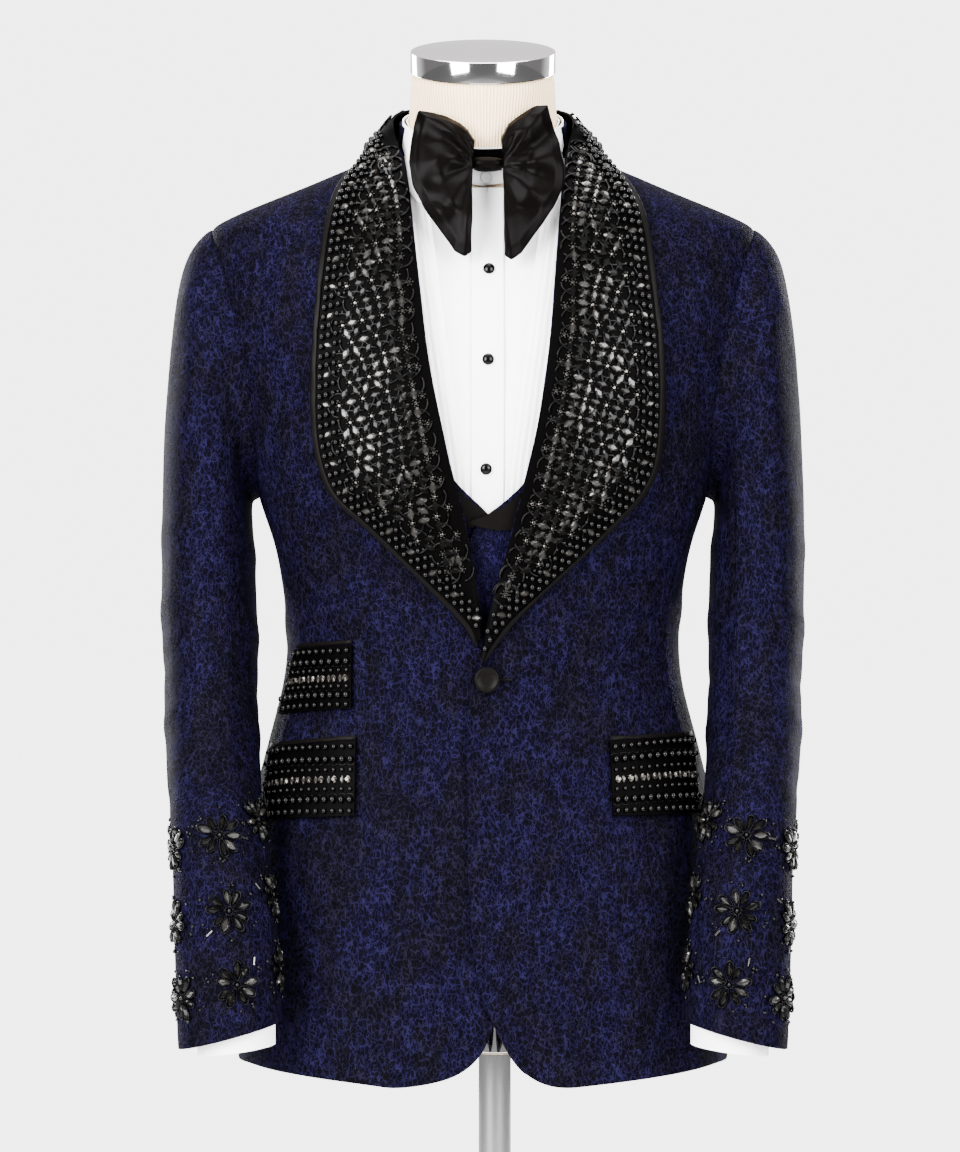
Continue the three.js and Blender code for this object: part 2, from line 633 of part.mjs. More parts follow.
function jacketCollarStand() {
  const angles = steps(14, -18, 198);
  const at = (row, angle, lift) => {
    const top = neckPoint(angle, 40.5, 68.2 + lift);
    if (row === 1) return top;
    const sideways = Math.cos(radians(angle));
    const torsoAngle = Math.asin(-Math.sin(radians(angle)));
    const base = skin(sideways < 0 ? -1 : 1, torsoAngle, NECKLINE_Z, lift - 0.8);
    base.z = NECKLINE_Z + 0.4;
    return row === 0 ? base : base.lerp(top, 0.5);
  };
  return clothWall('jacket_collar_stand', JACQUARD, [0, 0.5, 1], angles, at, 1.4);
}

// Panel laid on the jacket between four corners given as width and height
function laidPatch(name, material, side, corners, counts, lifts, thick) {
  const { topInner, topOuter, bottomInner, bottomOuter } = corners;
  const at = (down, across, lift) => {
    const z = lerp(lerp(topInner[1], topOuter[1], across), lerp(bottomInner[1], bottomOuter[1], across), down);
    const inner = angleAtWidth(lerp(topInner[0], bottomInner[0], down), z);
    const outer = angleAtWidth(lerp(topOuter[0], bottomOuter[0], down), z);
    return skin(side, lerp(inner, outer, across), z, lift + thick + lerp(lifts[0], lifts[1], down));
  };
  return clothWall(name, material, steps(counts[0]), steps(counts[1]), at, thick);
}

function flapPieces(row) {
  const raised = (corner, rise) => [corner[0], corner[1] + rise];
  const jet = {
    topInner: raised(row.topInner, JET_HEIGHT + SEAM),
    topOuter: raised(row.topOuter, JET_HEIGHT + SEAM),
    bottomInner: raised(row.topInner, SEAM),
    bottomOuter: raised(row.topOuter, SEAM),
  };
  return [
    laidPatch(row.name, BEADED, row.side, row, [3, 6], [1.1, 1.8], WALL.flap),
    laidPatch(row.name + '_jet', JET, row.side, jet, [1, 6], [1.1, 1.1], WALL.jet),
  ];
}

// Round piece on the torso's face, turned to face straight out of it
function laidDisc(name, material, profile, sides, point, direction) {
  const geometry = new THREE.LatheGeometry(profile.map(([x, y]) => new THREE.Vector2(x, y)), sides);
  const mesh = new THREE.Mesh(geometry, material);
  mesh.name = name;
  mesh.position.copy(point);
  mesh.quaternion.setFromUnitVectors(new THREE.Vector3(0, 1, 0), direction);
  return mesh;
}

function frontButton() {
  const { radius, thick, shank, stem } = BUTTON;
  const profile = [
    [0, 0], [shank, 0], [shank, stem], [radius * 0.8, stem], [radius, stem + thick * 0.35],
    [radius, stem + thick * 0.7], [radius * 0.86, stem + thick], [radius * 0.62, stem + thick * 0.62],
    [0, stem + thick * 0.5],
  ];
  const angle = angleAtWidth(BUTTON.x, BUTTON.z);
  const bare = skin(1, angle, BUTTON.z);
  const point = skin(1, angle, BUTTON.z, lap(1, BUTTON.x, BUTTON.z) + SEAM + 0.2);
  return laidDisc('front_button', SATIN, profile, 16, point, outwards(bare.x, bare.y, bare.z));
}

const vestLift = (z) => lerp(LIFT.waistcoat.chest, LIFT.waistcoat.shoulder, ramp(z, 985, 1020));

function vestTop(side) {
  const rows = side > 0 ? VEST_OVER : VEST_UNDER;
  return track(rows.map((row) => ({ z: row.edgeZ, x: row.edgeX })), 'z', 'x');
}

// Lift of the waistcoat where the under front passes below the over front
function vestLap(side, x, z) {
  const near = ramp(x, 30, 14) * ramp(z, 790, 772);
  return side > 0 ? 0 : LIFT.waistcoatUnder * near;
}

const VEST_ROWS = [514, 560, 604, 650, 700, 752, 766, 785, 820, 865, 910, 950, 985, 1013, 1029, 1052];

function vestSideEdge(z, end) {
  const grow = VEST.armholeGrow;
  const depth = z < ARMHOLE.bottom - grow || z > ARMHOLE.top + grow ? 0 : armholeDepth(z, end, grow);
  return angleAtDepth(depth + (end === 'front' ? -SEAM : SEAM) / 2, z);
}

function waistcoatFront(name, side) {
  const neck = vestTop(side);
  const at = (row, column, lift) => {
    const z = row + (VEST.hemSide - VEST.hemFront) * (1 - column) * (1 - ramp(row, VEST.hemFront, 600));
    const low = side > 0 ? 757 : 764;
    const edge = z < low ? VEST.lapX : neck(z);
    const inset = Math.max(edge + 6, VEST.lapInset);
    const spot = column === 1 ? edge : inset;
    const share = Math.min(column / VEST.lapShare, 1);
    const angle = lerp(vestSideEdge(z, 'front'), angleAtWidth(spot, z), share);
    const point = skin(1, angle, z);
    return skin(side, angle, z, lift + vestLift(z) + vestLap(side, point.x, z));
  };
  const columns = [...steps(5, 0, VEST.lapShare), 1];
  return clothWall(name, BROCADE, VEST_ROWS, columns, at, WALL.waistcoat);
}

function waistcoatBack() {
  const at = (row, column, lift) => {
    const z = row + (VEST.hemSide - VEST.hemFront) * (1 - ramp(row, VEST.hemFront, 600));
    const edge = vestSideEdge(z, 'back');
    return skin(1, lerp(edge, -Math.PI - edge, column), z, lift + vestLift(z));
  };
  const rows = VEST_ROWS.filter((z) => ![560].includes(z));
  return clothWall('waistcoat_back', SATIN, rows, steps(11), at, WALL.waistcoat);
}

function waistcoatLapel(name, side) {
  const rows = (side > 0 ? VEST_OVER : VEST_UNDER).map((row, step) => ({ ...row, step }));
  const line = (column) => track(rows, 'step', column);
  const [edgeX, edgeZ, outerX, outerZ] = ['edgeX', 'edgeZ', 'outerX', 'outerZ'].map(line);
  const last = rows.length - 1;
  const at = (step, share, lift) => {
    const x = lerp(edgeX(step), outerX(step), share);
    const z = lerp(edgeZ(step), outerZ(step), share);
    const base = vestLift(z) + vestLap(side, x, z) + 3 * SEAM + WALL.satin;
    return skin(side, angleAtWidth(x, z), z, lift + base);
  };
  const spots = [...steps(last - 3, 0, last - 3), last - 2.5, last - 2, last - 1.6, last - 1.2, last - 0.8];
  return clothWall(name, SATIN, spots, [0.04, 0.5, 1], at, WALL.satin);
}

// Lift of the shirt: deeper below the waistcoat, nearer at the shoulder, and in to the throat
function shirtLift(angle, z) {
  const front = lerp(LIFT.shirt.waist, LIFT.shirt.chest, ramp(z, 770, 812));
  const chest = lerp(LIFT.shirt.rear, front, ramp(Math.sin(angle), 0.45, 0.9));
  const shoulder = lerp(chest, LIFT.shirt.shoulder, ramp(z, 993, 1016));
  const throat = LIFT.shirt.throat * ramp(z, 985, 1022) * ramp(Math.sin(angle), 0.5, 0.95);
  return shoulder + throat;
}

const neckTopZ = (angle, front, side) => lerp(side, front, ramp(Math.sin(angle), 0.1, 0.95));

function shirtSideEdge(z, end) {
  const depth = z < ARMHOLE.bottom || z > ARMHOLE.top ? 0 : armholeDepth(z, end, -SHIRT_SLEEVE_GAP.armhole);
  return angleAtDepth(depth + (end === 'front' ? -SEAM : SEAM) / 2, z);
}

const SHIRT_ROWS = [478, 560, 640, 710, 768, 800, 860, 915, 961, ARMHOLE.top, 1031, SHIRT.topSide];

// Height of a shirt row: above the shoulder point the rows close up to a neckline that dips in front
function shirtRowZ(row, angle) {
  const top = lerp(SHIRT.topSide, SHIRT.topFront, ramp(Math.sin(angle), 0.1, 0.95));
  const above = Math.max(row - ARMHOLE.top, 0) / (SHIRT.topSide - ARMHOLE.top);
  return above > 0 ? lerp(ARMHOLE.top, top, above) : row;
}

function shirtFront(name, side) {
  const start = side > 0 ? PLEAT_START.over : PLEAT_START.under;
  const centre = side * SHIRT.centreX + SEAM / 2;
  const pleats = Array.from({ length: PLEAT.count * 2 + 1 }, (_, index) => ({
    x: start + PLEAT.pitch * (Math.floor(index / 2) + (index % 2) * 0.8),
    rise: index % 2 === 0 && index < PLEAT.count * 2 ? PLEAT.rise : 0,
  }));
  const columns = [
    ...[0, 0.33, 0.67].map((share) => ({ share, rise: 0 })),
    ...pleats.reverse(),
    { x: start - 0.5, rise: 0 },
    { x: centre, rise: 0, fixed: true },
  ];
  const at = (row, column, lift) => {
    const guess = shirtRowZ(row, Math.PI / 2);
    const slide = column.fixed ? 0 : PLEAT.slope * clamp(guess - PLEAT_START.z, 0, 240);
    const widest = pleats[0].x + PLEAT.slope * clamp(guess - PLEAT_START.z, 0, 240);
    const spot = column.share === undefined ? column.x + slide : widest;
    const edge = column.share === undefined ? 0 : 1 - column.share;
    let angle = angleAtWidth(spot, guess);
    angle = lerp(angle, shirtSideEdge(guess, 'front'), edge);
    const z = shirtRowZ(row, angle);
    angle = lerp(angleAtWidth(spot, z), shirtSideEdge(z, 'front'), edge);
    const raised = lift === 0 ? column.rise * ramp(z, PLEAT.fade.to, PLEAT.fade.from) : 0;
    return skin(side, angle, z, lift + raised + shirtLift(angle, z));
  };
  return clothWall(name, SHIRTING, SHIRT_ROWS, columns, at, WALL.shirt);
}

function shirtBack() {
  const at = (row, column, lift) => {
    const z = shirtRowZ(row, 0);
    const edge = shirtSideEdge(z, 'back');
    const angle = lerp(edge, -Math.PI - edge, column);
    return skin(1, angle, z, lift + shirtLift(angle, z));
  };
  return clothWall('shirt_back', SHIRTING, SHIRT_ROWS, steps(8), at, WALL.shirt);
}

function shirtPlacket() {
  const at = (row, x, lift) => {
    const z = shirtRowZ(row, Math.PI / 2);
    const angle = angleAtWidth(x, z);
    return skin(1, angle, z, lift + shirtLift(angle, z) + 2 * SEAM + WALL.shirt);
  };
  const rows = [SHIRT.hem + 15, ...SHIRT_ROWS.slice(1, -1), STUDS[1].z, SHIRT.topSide - 10].sort((a, b) => a - b);
  return clothWall('shirt_placket', SHIRTING, rows, steps(2, PLACKET.from, PLACKET.to), at, WALL.shirt);
}

function shirtStuds() {
  const { radius, height } = STUD;
  const dome = [1, 0.92, 0.7, 0.38].map((share) => [radius * share, height * Math.sqrt(1 - share * share * 0.9)]);
  const profile = [[0, 0], [radius * 0.9, 0], ...dome, [0, height]];
  return STUDS.map(({ x, z }, index) => {
    const angle = angleAtWidth(x, z);
    const lift = shirtLift(angle, z) + 2 * SEAM + WALL.shirt + 0.1;
    const bare = skin(1, angle, z);
    return laidDisc('stud_' + (index + 1), JET, profile, 12, skin(1, angle, z, lift), outwards(bare.x, bare.y, z));
  });
}

const standBase = (angle) => lerp(SHIRT_STAND.frontBase, SHIRT_STAND.sideBase, Math.cos(radians(angle)) ** 2);

function shirtCollarStand() {
  const { radius, frontTop, sideTop } = SHIRT_STAND;
  const at = (row, angle, lift) => {
    const top = lerp(frontTop, sideTop, ramp(Math.sin(radians(angle)), -1, 0));
    return neckPoint(angle, row === 0 ? standBase(angle) : top, radius + lift);
  };
  return clothWall('shirt_collar_stand', SHIRTING, [0, 1], steps(24, 0, 360).slice(0, 24), at, WALL.collar, true);
}

function shirtCollarLeaf() {
  const half = (name) => track(LEAF, 'angle', name);
  const lines = { fold: [half('foldHeight'), half('foldRadius')], edge: [half('edgeHeight'), half('edgeRadius')] };
  const angles = [-70, -63, -54, -46, -36, -26, -16, -6, 10, 26, 42, 58, 74, 90];
  const around = [...angles, ...angles.slice(0, -1).reverse().map((angle) => 180 - angle)];
  const face = around.map((angle) => {
    const near = angle > 90 ? 180 - angle : angle;
    const fold = neckPoint(angle, lines.fold[0](near), lines.fold[1](near));
    const edge = neckPoint(angle, lines.edge[0](near), lines.edge[1](near));
    return [fold, edge];
  });
  return thickened('shirt_collar_leaf', SHIRTING, face, -WALL.shirt);
}

function collarButton() {
  const { radius, height, x, neckHeight } = COLLAR_BUTTON;
  const reachOut = SHIRT_STAND.radius + SEAM;
  const angle = -90 + (Math.asin(x / reachOut) * 180) / Math.PI;
  const profile = [[0, 0], [radius * 0.9, 0], [radius, height * 0.5], [radius * 0.8, height], [0, height * 0.8]];
  const point = neckPoint(angle, neckHeight, reachOut);
  const direction = point.clone().sub(neckPoint(angle, neckHeight, 0)).normalize();
  return laidDisc('collar_button', SHIRTING, profile, 12, point, direction);
}

function bowStrap() {
  const at = (row, angle, lift) => {
    const bottom = lerp(STRAP.front, STRAP.side, ramp(Math.sin(radians(angle)), -1, 0));
    return neckPoint(angle, bottom + row * STRAP.width, STRAP.radius + lift);
  };
  return clothWall('bow_strap', SATIN, [0, 1], steps(24, 0, 360).slice(0, 24), at, STRAP.wall, true);
}

function bowWing(name, side) {
  const root = new THREE.Vector3(KNOT.x + side * (KNOT.halfWidth - 1.5), BOW_PLANE.y, KNOT.z);
  const spread = (row, layer, face) => {
    const length = row[side > 0 ? 'left' : 'right'];
    const up = lerp(KNOT.rootHeight, length, layer.reach) * Math.sin(radians(row.angle));
    const out = lerp(KNOT.rootOut, length * Math.cos(radians(row.angle)), layer.reach);
    const fold = 2.4 * Math.sin(radians(row.angle * 7 + 40)) * layer.reach * (1.15 - layer.reach);
    const slope = up < 0 ? BOW_PLANE.lean * up : BOW_PLANE.lean * 0.9 * up;
    const depth = slope - layer.swell - fold - (face * layer.thick) / 2;
    return root.clone().add(new THREE.Vector3(side * out, depth, up));
  };
  const face = (sign) => BOW_RAYS.map((row) => BOW_PROFILE.map((layer) => spread(row, layer, sign)));
  return solidBetween(name, SATIN, face(1), face(-1));
}

function bowKnot() {
  const rings = steps(6, -75, 75).map((tilt) => {
    const x = KNOT.x + KNOT.halfWidth * power(Math.sin(radians(tilt)), 0.8);
    const scale = Math.cos(radians(tilt)) ** 0.35;
    return steps(12, 0, 360).slice(0, 12).map((angle) => {
      const y = (KNOT.front + KNOT.back) / 2 + ((KNOT.back - KNOT.front) / 2) * scale * Math.cos(radians(angle));
      return new THREE.Vector3(x, y, KNOT.z + KNOT.halfHeight * scale * Math.sin(radians(angle)));
    });
  });
  return stackedRings('bow_knot', SATIN, rings);
}

function formTorso() {
  const around = steps(24, 0, 2 * Math.PI).slice(0, 24);
  const liftAt = track(FORM_LIFTS, 'z', 'lift');
  const bodyPoint = (turn, z) => {
    const side = Math.cos(turn) < 0 ? -1 : 1;
    const angle = Math.asin(clamp(-Math.sin(turn), -1, 1));
    const throat = LIFT.formThroat * ramp(z, 985, 1022) * ramp(Math.sin(angle), 0.5, 0.95);
    return skin(side, angle, z, liftAt(z) + throat);
  };
  const torsoRings = FORM_RINGS.map((z) => around.map((turn) => bodyPoint(turn, z).setZ(z)));
  torsoRings[0] = torsoRings[0].map((point) => point.clone().multiply(new THREE.Vector3(0.97, 0.97, 1)));
  const shoulderRings = [0.16, 0.3125, 0.45, 0.62, 0.8, 0.92].map((share) =>
    around.map((turn) => {
      const angle = Math.asin(clamp(-Math.sin(turn), -1, 1));
      return bodyPoint(turn, lerp(970, neckTopZ(angle, 1030, 1066), share));
    }),
  );
  const neckRings = [
    { base: 3, side: 22, radius: NECK.baseRadius },
    { base: 30, side: 34, radius: 60.6 },
    { base: 56, side: 56, radius: 59.4 },
    { base: NECK.topHeight, side: NECK.topHeight, radius: NECK.topRadius },
  ].map(({ base, side, radius }) =>
    around.map((turn) => {
      const angle = (turn * 180) / Math.PI;
      return neckPoint(angle, lerp(base, side, Math.cos(turn) ** 2), radius);
    }),
  );
  return stackedRings('form_torso', JERSEY, [...torsoRings, ...shoulderRings, ...neckRings]);
}

// Turned piece of the stand, from a profile of radius and height
function turned(name, material, profile, sides, x = 0) {
  const geometry = new THREE.LatheGeometry(profile.map(([radius, z]) => new THREE.Vector2(radius, z)), sides);
  const mesh = new THREE.Mesh(geometry.rotateX(Math.PI / 2), material);
  mesh.name = name;
  mesh.position.x = x;
  return mesh;
}

function neckCap() {
  const { radius, band, dome } = NECK_CAP;
  const profile = [
    [0, 0], [radius - 0.6, 0], [radius, 0.6], [radius, band - 1.2], [radius - 1.2, band], [radius * 0.5, band + dome * 0.8],
    [0, band + dome],
  ];
  const cap = turned('neck_cap', CHROME, profile, 24);
  cap.position.copy(neckPoint(0, NECK.topHeight + SEAM, 0));
  cap.rotation.x = NECK.tilt;
  return cap;
}

function standPieces() {
  const { x, baseRadius, baseEdge, baseDome, poleRadius, joint, flangeRadius, flangeThick } = STAND;
  const flangeZ = FORM_BOTTOM_Z - SEAM - flangeThick;
  const base = [
    [0, 0], [baseRadius - 1, 0], [baseRadius, 1], [baseRadius, baseEdge - 3], [baseRadius - 3, baseEdge],
    [baseRadius * 0.6, baseEdge + 3], [poleRadius + 8, baseDome], [0, baseDome],
  ];
  const pole = (bottom, top) => [[0, bottom], [poleRadius, bottom], [poleRadius, top], [0, top]];
  const flange = [
    [0, flangeZ], [flangeRadius - 1, flangeZ], [flangeRadius, flangeZ + 1], [flangeRadius, flangeZ + flangeThick],
    [0, flangeZ + flangeThick],
  ];
  return [
    turned('stand_base', CHROME, base, 28, x),
    turned('pole_lower', CHROME, pole(baseDome + SEAM, joint), 18, x),
    turned('pole_upper', CHROME, pole(joint + SEAM, flangeZ - SEAM), 18, x),
    turned('form_flange', STEEL, flange, 24, x),
  ];
}

function jacket() {
  const made = group('jacket');
  for (const [word, side] of [['right', -1], ['left', 1]]) {
    made.add(jacketFront('jacket_' + word + '_front', side));
    made.add(jacketSide('jacket_' + word + '_side', side));
    made.add(jacketBack('jacket_' + word + '_back', side));
    made.add(sleevePanel(word + '_top_sleeve', side, sleeveAngles().top));
    made.add(sleevePanel(word + '_under_sleeve', side, sleeveAngles().under));
    made.add(shawlCollar(word + '_shawl_collar', side));
    made.add(collarPiping(word + '_collar_piping', side));
  }
  made.add(jacketCollarStand(), ...FLAPS.flatMap(flapPieces), frontButton());
  return made;
}

function waistcoat() {
  const made = group('waistcoat');
  made.add(waistcoatFront('waistcoat_right_front', -1), waistcoatFront('waistcoat_left_front', 1));
  made.add(waistcoatLapel('waistcoat_right_lapel', -1), waistcoatLapel('waistcoat_left_lapel', 1));
  made.add(waistcoatBack());
  return made;
}

function shirt() {
  const made = group('shirt');
  for (const [word, side] of [['right', -1], ['left', 1]]) {
    made.add(shirtFront('shirt_' + word + '_front', side));
    made.add(shirtSleeve('shirt_' + word + '_sleeve', side));
    made.add(shirtCuff('shirt_' + word + '_cuff', side));
  }
  made.add(shirtBack(), shirtPlacket(), shirtCollarStand(), shirtCollarLeaf(), ...shirtStuds(), collarButton());
  return made;
}

function bowTie() {
  const made = group('bow_tie');
  made.add(bowWing('bow_right_wing', -1), bowWing('bow_left_wing', 1), bowKnot(), bowStrap());
  return made;
}

function dressForm() {
  const made = group('dress_form');
  made.add(formTorso(), neckCap(), ...standPieces());
  return made;
}

const tuxedo = group('tuxedo');
tuxedo.add(jacket(), waistcoat(), shirt(), bowTie(), dressForm());

export default tuxedo;
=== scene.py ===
"""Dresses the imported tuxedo: cloth, beadwork, bow tie, dress form, stand, studio and camera.

Metres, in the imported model's frame: +X is the wearer's left, -Y the front, +Z up.
"""

import logging
import math
from collections.abc import Iterable
from dataclasses import dataclass, field
from enum import Enum

import bmesh
import bpy
import numpy as np
from mathutils import Matrix, Vector, noise
from mathutils.bvhtree import BVHTree


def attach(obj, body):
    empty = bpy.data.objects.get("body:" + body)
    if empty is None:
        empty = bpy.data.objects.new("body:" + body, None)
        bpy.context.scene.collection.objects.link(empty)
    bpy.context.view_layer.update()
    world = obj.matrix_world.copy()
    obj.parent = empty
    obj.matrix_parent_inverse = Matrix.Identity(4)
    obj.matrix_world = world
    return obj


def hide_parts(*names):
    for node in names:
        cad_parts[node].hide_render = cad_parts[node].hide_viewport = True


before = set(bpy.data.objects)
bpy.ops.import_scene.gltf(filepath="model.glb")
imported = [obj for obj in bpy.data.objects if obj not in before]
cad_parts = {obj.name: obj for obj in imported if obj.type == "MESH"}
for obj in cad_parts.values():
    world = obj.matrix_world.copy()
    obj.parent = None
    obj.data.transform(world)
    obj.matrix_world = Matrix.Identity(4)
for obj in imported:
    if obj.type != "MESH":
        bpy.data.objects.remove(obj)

LOG = logging.getLogger("tuxedo")
MM = 0.001
PANEL_SHIFT = "panel_shift"
SHIFT_STEPS = 97
Colour = tuple[float, float, float]
Inputs = dict[str | int, object]


def ramp(value: float, low: float, high: float) -> float:
    """Smooth step of value from 0 at low to 1 at high."""
    share = min(max((value - low) / (high - low), 0.0), 1.0)
    return share * share * (3 - 2 * share)


def lerp(low: float, high: float, share: float) -> float:
    """Value that lies share of the way from low to high."""
    return low + (high - low) * share


# Shader graphs


class Graph:
    """Short ways to add and join the nodes of one shader tree."""

    def __init__(self, tree: bpy.types.NodeTree) -> None:
        """Starts on an empty tree."""
        self.tree = tree

    def node(self, kind: str, inputs: Inputs | None = None, **settings: object) -> bpy.types.Node:
        """Adds a shader node.

        Args:
            kind: Node class name after ShaderNode, such as TexNoise.
            inputs: Input name or index to a value or a socket to join.
            settings: Attributes of the node itself.

        Returns:
            The new node.
        """
        made = self.tree.nodes.new("ShaderNode" + kind)
        for name, value in settings.items():
            setattr(made, name, value)
        return self._feed(made, inputs or {})

    def _feed(self, made: bpy.types.Node, inputs: Inputs) -> bpy.types.Node:
        """Joins or sets each input of a node.

        Args:
            made: The node.
            inputs: Input name or index to a value or a socket to join.

        Returns:
            The same node.
        """
        for key, value in inputs.items():
            if isinstance(value, bpy.types.NodeSocket):
                self.tree.links.new(value, made.inputs[key])
            else:
                made.inputs[key].default_value = value
        return made

    def math(self, operation: str, *values: object) -> bpy.types.NodeSocket:
        """Adds a maths node and returns its output."""
        return self.node("Math", dict(enumerate(values)), operation=operation).outputs[0]

    def vector(self, operation: str, *values: object) -> bpy.types.NodeSocket:
        """Adds a vector maths node and returns its vector output."""
        return self.node("VectorMath", dict(enumerate(values)), operation=operation).outputs[0]

    def scaled(self, vector: object, share: object) -> bpy.types.NodeSocket:
        """Vector or colour times a number."""
        return self.node("VectorMath", {0: vector, "Scale": share}, operation="SCALE").outputs[0]

    def blend(self, share: object, low: object, high: object) -> bpy.types.NodeSocket:
        """Mixes two colours and returns the colour output."""
        return self.node("Mix", {0: share, 6: low, 7: high}, data_type="RGBA").outputs[2]

    def steps(self, value: object, low: float, high: float) -> bpy.types.NodeSocket:
        """Maps value from low..high to 0..1 with soft ends."""
        settings = {"interpolation_type": "SMOOTHSTEP"}
        return self.node("MapRange", {0: value, 1: low, 2: high}, **settings).outputs[0]

    def place(self) -> bpy.types.NodeSocket:
        """Object coordinates, in metres."""
        return self.node("TexCoord").outputs["Object"]

    def group(self, tree: bpy.types.NodeTree, inputs: Inputs) -> bpy.types.Node:
        """Places a node group with its own values."""
        made = self.tree.nodes.new("ShaderNodeGroup")
        made.node_tree = tree
        return self._feed(made, inputs)


class Groups:
    """Node groups that several finishes share, each built once."""

    def __init__(self) -> None:
        """Starts with no group built."""
        self.made: dict[str, bpy.types.NodeTree] = {}

    def _tree(
        self, name: str, inputs: dict[str, str], outputs: Iterable[str]
    ) -> tuple[Graph, bpy.types.Node, bpy.types.Node]:
        """Makes an empty group with named sockets.

        Args:
            name: Name of the group.
            inputs: Input name to socket type.
            outputs: Names of the float outputs.

        Returns:
            The graph, its input node and its output node.
        """
        tree = bpy.data.node_groups.new(name, "ShaderNodeTree")
        for socket, kind in inputs.items():
            tree.interface.new_socket(socket, in_out="INPUT", socket_type=kind)
        for socket in outputs:
            tree.interface.new_socket(socket, in_out="OUTPUT", socket_type="NodeSocketFloat")
        self.made[name] = tree
        return Graph(tree), tree.nodes.new("NodeGroupInput"), tree.nodes.new("NodeGroupOutput")

    def weave(self) -> bpy.types.NodeTree:
        """Plain weave: crossing threads with a little slub."""
        if "cloth_weave" in self.made:
            return self.made["cloth_weave"]
        kinds = {"Vector": "NodeSocketVector", "Pitch": "NodeSocketFloat"}
        graph, start, end = self._tree("cloth_weave", kinds, ("Height", "Tone"))
        parts = graph.node("SeparateXYZ", {0: start.outputs["Vector"]})
        turn = graph.math("DIVIDE", 2 * math.pi, start.outputs["Pitch"])
        across = graph.math("MULTIPLY", graph.math("ADD", parts.outputs[0], parts.outputs[1]), turn)
        along = graph.math("MULTIPLY", parts.outputs[2], turn)
        threads = graph.math("MULTIPLY", graph.math("SINE", across), graph.math("SINE", along))
        slub = graph.node("TexNoise", {"Vector": start.outputs["Vector"], "Scale": 260.0, "Detail": 3.0})
        height = graph.math("ADD", graph.math("MULTIPLY", threads, 0.5), slub.outputs[0])
        graph.tree.links.new(height, end.inputs["Height"])
        graph.tree.links.new(slub.outputs[0], end.inputs["Tone"])
        return graph.tree

    def vermicelli(self) -> bpy.types.NodeTree:
        """Raised wriggling outlines, drawn out upright, in patches that come and go."""
        if "vermicelli" in self.made:
            return self.made["vermicelli"]
        kinds = {
            "Vector": "NodeSocketVector",
            "Cell": "NodeSocketFloat",
            "Stretch": "NodeSocketFloat",
            "Patch Size": "NodeSocketFloat",
        }
        graph, start, end = self._tree("vermicelli", kinds, ("Line", "Height", "Patch", "Fill"))
        size = graph.math("DIVIDE", 1.0, start.outputs["Cell"])
        tall = graph.math("DIVIDE", size, start.outputs["Stretch"])
        scale = graph.node("CombineXYZ", {0: size, 1: size, 2: tall}).outputs[0]
        spot = graph.vector("MULTIPLY", start.outputs["Vector"], scale)
        wriggle = graph.node("TexNoise", {"Vector": spot, "Scale": 0.8, "Detail": 2.0}).outputs["Color"]
        moved = graph.vector("MULTIPLY", graph.vector("SUBTRACT", wriggle, (0.5, 0.5, 0.5)), (1.9, 1.9, 1.1))
        bent = graph.vector("ADD", spot, moved)
        edges = graph.node("TexVoronoi", {"Vector": bent, "Scale": 1.0}, feature="DISTANCE_TO_EDGE")
        outline = graph.math("SUBTRACT", 1.0, graph.steps(edges.outputs["Distance"], 0.04, 0.15))
        second = graph.node("TexNoise", {"Vector": bent, "Scale": 1.1, "Detail": 1.0}).outputs[0]
        band = graph.math("ABSOLUTE", graph.math("SUBTRACT", second, 0.5))
        curl = graph.math("SUBTRACT", 1.0, graph.steps(band, 0.01, 0.05))
        line = graph.math("MAXIMUM", outline, graph.math("MULTIPLY", curl, 0.7))
        fine = graph.node("TexNoise", {"Vector": spot, "Scale": 5.0, "Detail": 2.0}).outputs[0]
        height = graph.math("ADD", line, graph.math("MULTIPLY", fine, 0.35))
        far = graph.math("DIVIDE", 1.0, start.outputs["Patch Size"])
        tall_way = graph.vector("MULTIPLY", start.outputs["Vector"], (1.0, 1.0, 0.55))
        patch = graph.node("TexNoise", {"Vector": tall_way, "Scale": far, "Detail": 5.0, "Roughness": 0.78})
        cloud = graph.node("TexNoise", {"Vector": bent, "Scale": 0.55, "Detail": 2.0}).outputs[0]
        fill = graph.steps(cloud, 0.42, 0.6)
        graph.tree.links.new(line, end.inputs["Line"])
        graph.tree.links.new(height, end.inputs["Height"])
        graph.tree.links.new(graph.steps(patch.outputs[0], 0.4, 0.6), end.inputs["Patch"])
        graph.tree.links.new(fill, end.inputs["Fill"])
        return graph.tree

    def ageing(self) -> bpy.types.NodeTree:
        """Slow change of tone and of gloss over a surface."""
        if "slow_tone" in self.made:
            return self.made["slow_tone"]
        kinds = {"Vector": "NodeSocketVector", "Size": "NodeSocketFloat"}
        graph, start, end = self._tree("slow_tone", kinds, ("Tone", "Gloss"))
        scale = graph.math("DIVIDE", 1.0, start.outputs["Size"])
        broad = graph.node("TexNoise", {"Vector": start.outputs["Vector"], "Scale": scale, "Detail": 3.0})
        near = graph.math("MULTIPLY", scale, 6.0)
        close = graph.node("TexNoise", {"Vector": start.outputs["Vector"], "Scale": near, "Detail": 2.0})
        graph.tree.links.new(broad.outputs[0], end.inputs["Tone"])
        graph.tree.links.new(close.outputs[0], end.inputs["Gloss"])
        return graph.tree


GROUPS = Groups()


# Finishes


